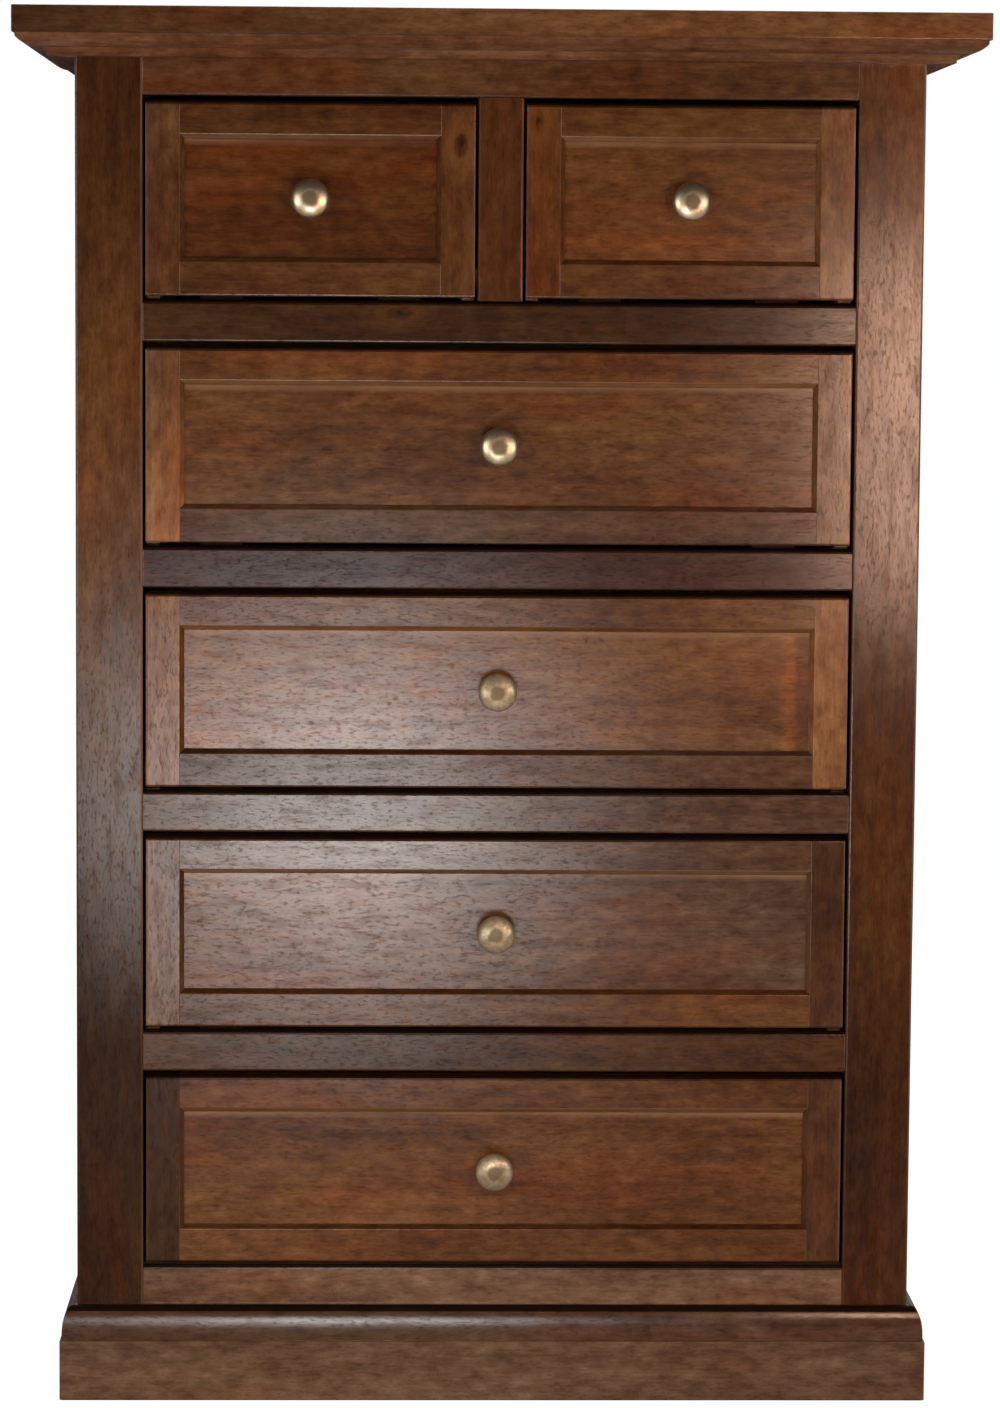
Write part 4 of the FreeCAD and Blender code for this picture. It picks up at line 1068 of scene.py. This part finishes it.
# %% Turn the knob and its screw
HEAD_RADIUS, HEAD_RISE, HEAD_LEVEL = 18.0, 6.8, 22.2  # the head's crown, in millimetres
KNOB_OUTLINE = [
    (0, 0), (9.5, 0), (9.5, 1.8), (9.2, 2.6), (8.4, 3.0), (7.1, 3.7), (6.5, 5.0), (6.4, 7.2),
    (6.7, 9.2), (7.7, 11.0), (9.6, 12.6), (12.4, 14.0), (14.9, 15.7), (16.8, 17.8), (17.8, 20.1),
    *quarter((0, HEAD_LEVEL), HEAD_RADIUS, HEAD_RISE, 12),
]
SCREW_OUTLINE = [(0, 0), (4.0, 0), (4.0, -0.9), (3.6, -1.7), (2.6, -2.3), (1.3, -2.5), (0, -2.5)]
SLOT = (-6 * MM, 1.3 * MM, -0.5 * MM), (6 * MM, 4 * MM, 0.5 * MM)
ROUND = math.radians(38)  # a turned face turns less than this from facet to facet
OLIVE_FACE, OLIVE_FADE = 11.0 * MM, 6 * MM  # radius of the dull middle, and of its fading
HEAD_FROM = 20 * MM  # the head is further ahead of the panel than this


def turn(name, outline):
    """Spins half an outline, radius and distance in front, about the line x = z = 0."""
    draw([(radius * MM, -ahead * MM, 0) for radius, ahead in outline])
    bpy.ops.mesh.spin(steps=64, angle=2 * math.pi, center=(0, 0, 0), axis=(0, 1, 0))
    bpy.ops.mesh.select_all(action="SELECT")
    bpy.ops.mesh.remove_doubles(threshold=NEAR)
    face_outwards()
    piece = settle(name)
    bpy.ops.object.shade_smooth_by_angle(angle=ROUND)
    return piece


def copy_to(piece, name, place):
    """A copy with its own mesh, moved to its place."""
    take(piece)
    bpy.ops.object.duplicate(linked=False)
    bpy.ops.transform.translate(value=place)
    return settle(name)


pattern_knob = turn("pattern_knob", KNOB_OUTLINE)
# The olive middle of each knob face: tarnish, and painted shade for the dark room it reflects.
patina_and_shade = pattern_knob.data.attributes.new("patina_and_shade", "FLOAT", "POINT")
for point, mark in zip(pattern_knob.data.vertices, patina_and_shade.data):
    off_axis = math.hypot(point.co.x, point.co.z)
    fading = min(1.0, max(0.0, (OLIVE_FACE - off_axis) / OLIVE_FADE))
    mark.value = fading if point.co.y < -HEAD_FROM else 0.0
pattern_screw = turn("pattern_screw", SCREW_OUTLINE)
slot_cutter = block("slot_cutter", *SLOT)
cut_out(pattern_screw, slot_cutter)
bpy.data.objects.remove(slot_cutter)
print("knob:", in_mm(pattern_knob.dimensions))

# %% [markdown]
# ## The six drawers
#
# The fronts were cut from mixed stock, so each stick and panel gets a tone of its own: some
# stiles came out nearly black and others the colour of honey. Along the head of each panel
# runs a pale line, and the panel is scored along it.

# %% Choose the boards
PARTS = ("left", "right", "top", "foot", "panel")
TONES = {  # in the order of the parts
    "drawer_1_left": (honey(0.74), walnut(0.87), walnut(0.76), walnut(0.70), rust(0.74)),
    "drawer_1_right": (rust(0.70), honey(1.10), walnut(0.80), walnut(0.80), walnut(1.02)),
    "drawer_2": (
        [(0.84, honey(1.60)), (0.97, honey(0.72))], honey(1.00), walnut(0.95), plum(0.72),
        [(-0.300, straw(1.16)), (0.200, walnut(0.86))],
    ),
    "drawer_3": (
        walnut(1.35), honey(1.42), walnut(0.90), plum(0.76, 0.65),
        [
            (-0.300, walnut(1.40)), (0.050, walnut(1.10)), (0.266, honey(0.87)),
            (0.274, walnut(1.50)), (0.279, walnut(1.50)), (0.285, walnut(0.95)),
        ],
    ),
    "drawer_4": (
        plum(1.15), walnut(0.50), plum(0.76), walnut(0.80, 0.9),
        [(-0.300, walnut(1.15, 0.9)), (0.250, smoke(0.85, 0.9))],
    ),
    "drawer_5": (
        walnut(0.33, 0.5), honey(0.55, 0.6), walnut(0.90, 0.7), walnut(1.00, 0.6),
        walnut(1.00, 0.6),
    ),
}
CHAMFERS = {  # painted shade on a part's chamfer, below zero a painted highlight
    "drawer_1_left": (0.0, 0.0, -0.4, 0.0),
    "drawer_1_right": (0.0, 0.0, -0.4, 0.0),
    "drawer_2": (0.0, -0.1, -0.4, 0.0),
    "drawer_3": (0.45, 0.2, -0.4, 0.5),
    "drawer_4": (0.5, -0.25, -0.4, 0.45),
    "drawer_5": (-0.2, -0.2, -0.4, 0.5),
}
KNOTS = {
    ("drawer_1_left", "right"): (-0.037, -0.171, 1.188),
    ("drawer_1_right", "left"): (0.034, -0.171, 1.211),
}
SHADED_KNOB_DRAWERS, DULL = ("drawer_3", "drawer_4", "drawer_5"), 0.54  # knobs at least so dull all over, painted shade that hides the low lamp's reflection
PALE_HEAD = [(0.0, 0.55), (1.5 * MM, 0.85), (3.5 * MM, 0.55), (7.0 * MM, 0.0)]  # way down, share
print("tones chosen:", sum(len(tones) for tones in TONES.values()))


# %% Make the parts of a drawer
def make_frame(drawer, body, tones, box):
    """The frame of the front, and the sides of the box, which cut their own sockets."""
    low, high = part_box(f"{drawer}_stiles")
    chamfers = dict(zip(PARTS, CHAMFERS[drawer]))
    stiles, sides = [], []
    for hand, side in HANDS.items():
        stick = frame_stick(f"{drawer}_stile_{hand}", low, high, 0, side)
        board = drawer_side(f"{drawer}_side_{hand}", *box, side)
        cut_out(stick, board)
        ease(board, 0.4 * MM)
        score_stops(stick, 2, tones[hand])
        knot = KNOTS.get((drawer, hand), NO_KNOT)
        # Rounded upper edges get painted shade, and chamfers painted shade or painted highlight.
        stiles.append(lay_grain(stick, "z", tones[hand], knot, UPPER_EDGES, chamfers[hand]))
        sides.append(lay_grain(board, "y", walnut(1.0)))
    hand_over_dark(join(f"{drawer}_stile_boards", stiles), body, f"{drawer}_stiles")

    rails = []
    # The top rail's rounded upper edge gets painted shade.
    for part, side, shade_above in (("top", 1, UPPER_EDGES), ("foot", -1, NO_PAINTED_SHADE)):
        rail = frame_stick(f"{drawer}_rail_{part}", low, high, 2, side)
        rails.append(lay_grain(rail, "x", tones[part], NO_KNOT, shade_above, chamfers[part]))
    hand_over_dark(join(f"{drawer}_rail_boards", rails), body, f"{drawer}_rails")
    return sides


def make_panel(drawer, body, colour):
    """The panel, with the pale line along its head."""
    low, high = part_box(f"{drawer}_panel")
    panel = block(f"{drawer}_panel_board", low, high)
    ease(panel, 0.6 * MM)
    score_stops(panel, 0, colour)
    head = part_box(f"{drawer}_stiles")[1].z - FACE - LIP
    score_across(panel, 2, [head - down for down, _ in PALE_HEAD])
    lay_grain(panel, "x", colour)
    marks = panel.data.attributes.new("pale_head", "FLOAT", "POINT")
    for point, mark in zip(panel.data.vertices, marks.data):
        for down, amount in PALE_HEAD:
            if abs(point.co.z - (head - down)) < NEAR:
                mark.value = amount
    hand_over_dark(panel, body, f"{drawer}_panel")
    return low, high


print("drawers to make:", len(TONES))

# %% Put the drawers together
for drawer in TONES:
    body = f"{drawer}_body"
    tones = dict(zip(PARTS, TONES[drawer]))
    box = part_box(f"{drawer}_box")
    boards = make_frame(drawer, body, tones, box)
    back = drawer_back(f"{drawer}_back_board", *box)
    ease(back, 0.5 * MM)
    boards.append(lay_grain(back, "x", walnut(1.0)))
    whole = join(f"{drawer}_box_boards", boards)
    hand_over(whole, body, [f"{drawer}_box"], BOX_PINE)

    low, high = make_panel(drawer, body, tones["panel"])
    knob_place = ((low.x + high.x) / 2, low.y, (low.z + high.z) / 2)
    knob = copy_to(pattern_knob, f"{drawer}_brass_knob", knob_place)
    # The lower knobs are dulled all over with painted shade, so the low lamp doesn't shine in
    # them.
    if drawer in SHADED_KNOB_DRAWERS:
        for mark in knob.data.attributes["patina_and_shade"].data:
            mark.value = max(mark.value, DULL)
    hand_over(knob, body, [f"{drawer}_knob"], BRASS)
    screw_place = (knob_place[0], high.y, knob_place[2])
    screw = copy_to(pattern_screw, f"{drawer}_knob_screw", screw_place)
    hand_over(screw, body, [f"{drawer}_knob"], STEEL)
    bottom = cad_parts[f"{drawer}_bottom"]
    bottom.data.materials[0] = PLYWOOD
    print(drawer, "knob at", in_mm(knob_place))

bpy.data.objects.remove(pattern_knob)
bpy.data.objects.remove(pattern_screw)

# %% [markdown]
# ## Inside the case
#
# The back, its rails, the runners, the stops and the cleats with their screws keep their
# CAD shapes, because they are plain in life too. They only need a material: their real one,
# except the stops, which are painted dark as shade.

# %% Give the hidden boards their finish
INSIDE = {
    "back_panel": PLYWOOD,
    "back_rails": CROSS_PINE,
    "drawer_stops": STOP_SHADE,
    "drawer_runners": RUNNER_PINE,
    "top_cleats": RUNNER_PINE,
    "top_screws": STEEL,
}
for name, material in INSIDE.items():
    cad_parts[name].data.materials[0] = material
    print(name, "is", material.name)

# %% [markdown]
# ## Check the size
#
# Dressing must not change the size. How much the box grew is printed.

# %% Write how much it grew
low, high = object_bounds()
print("grown by, in millimetres:", in_mm((high - low) - (cad_high - cad_low)))
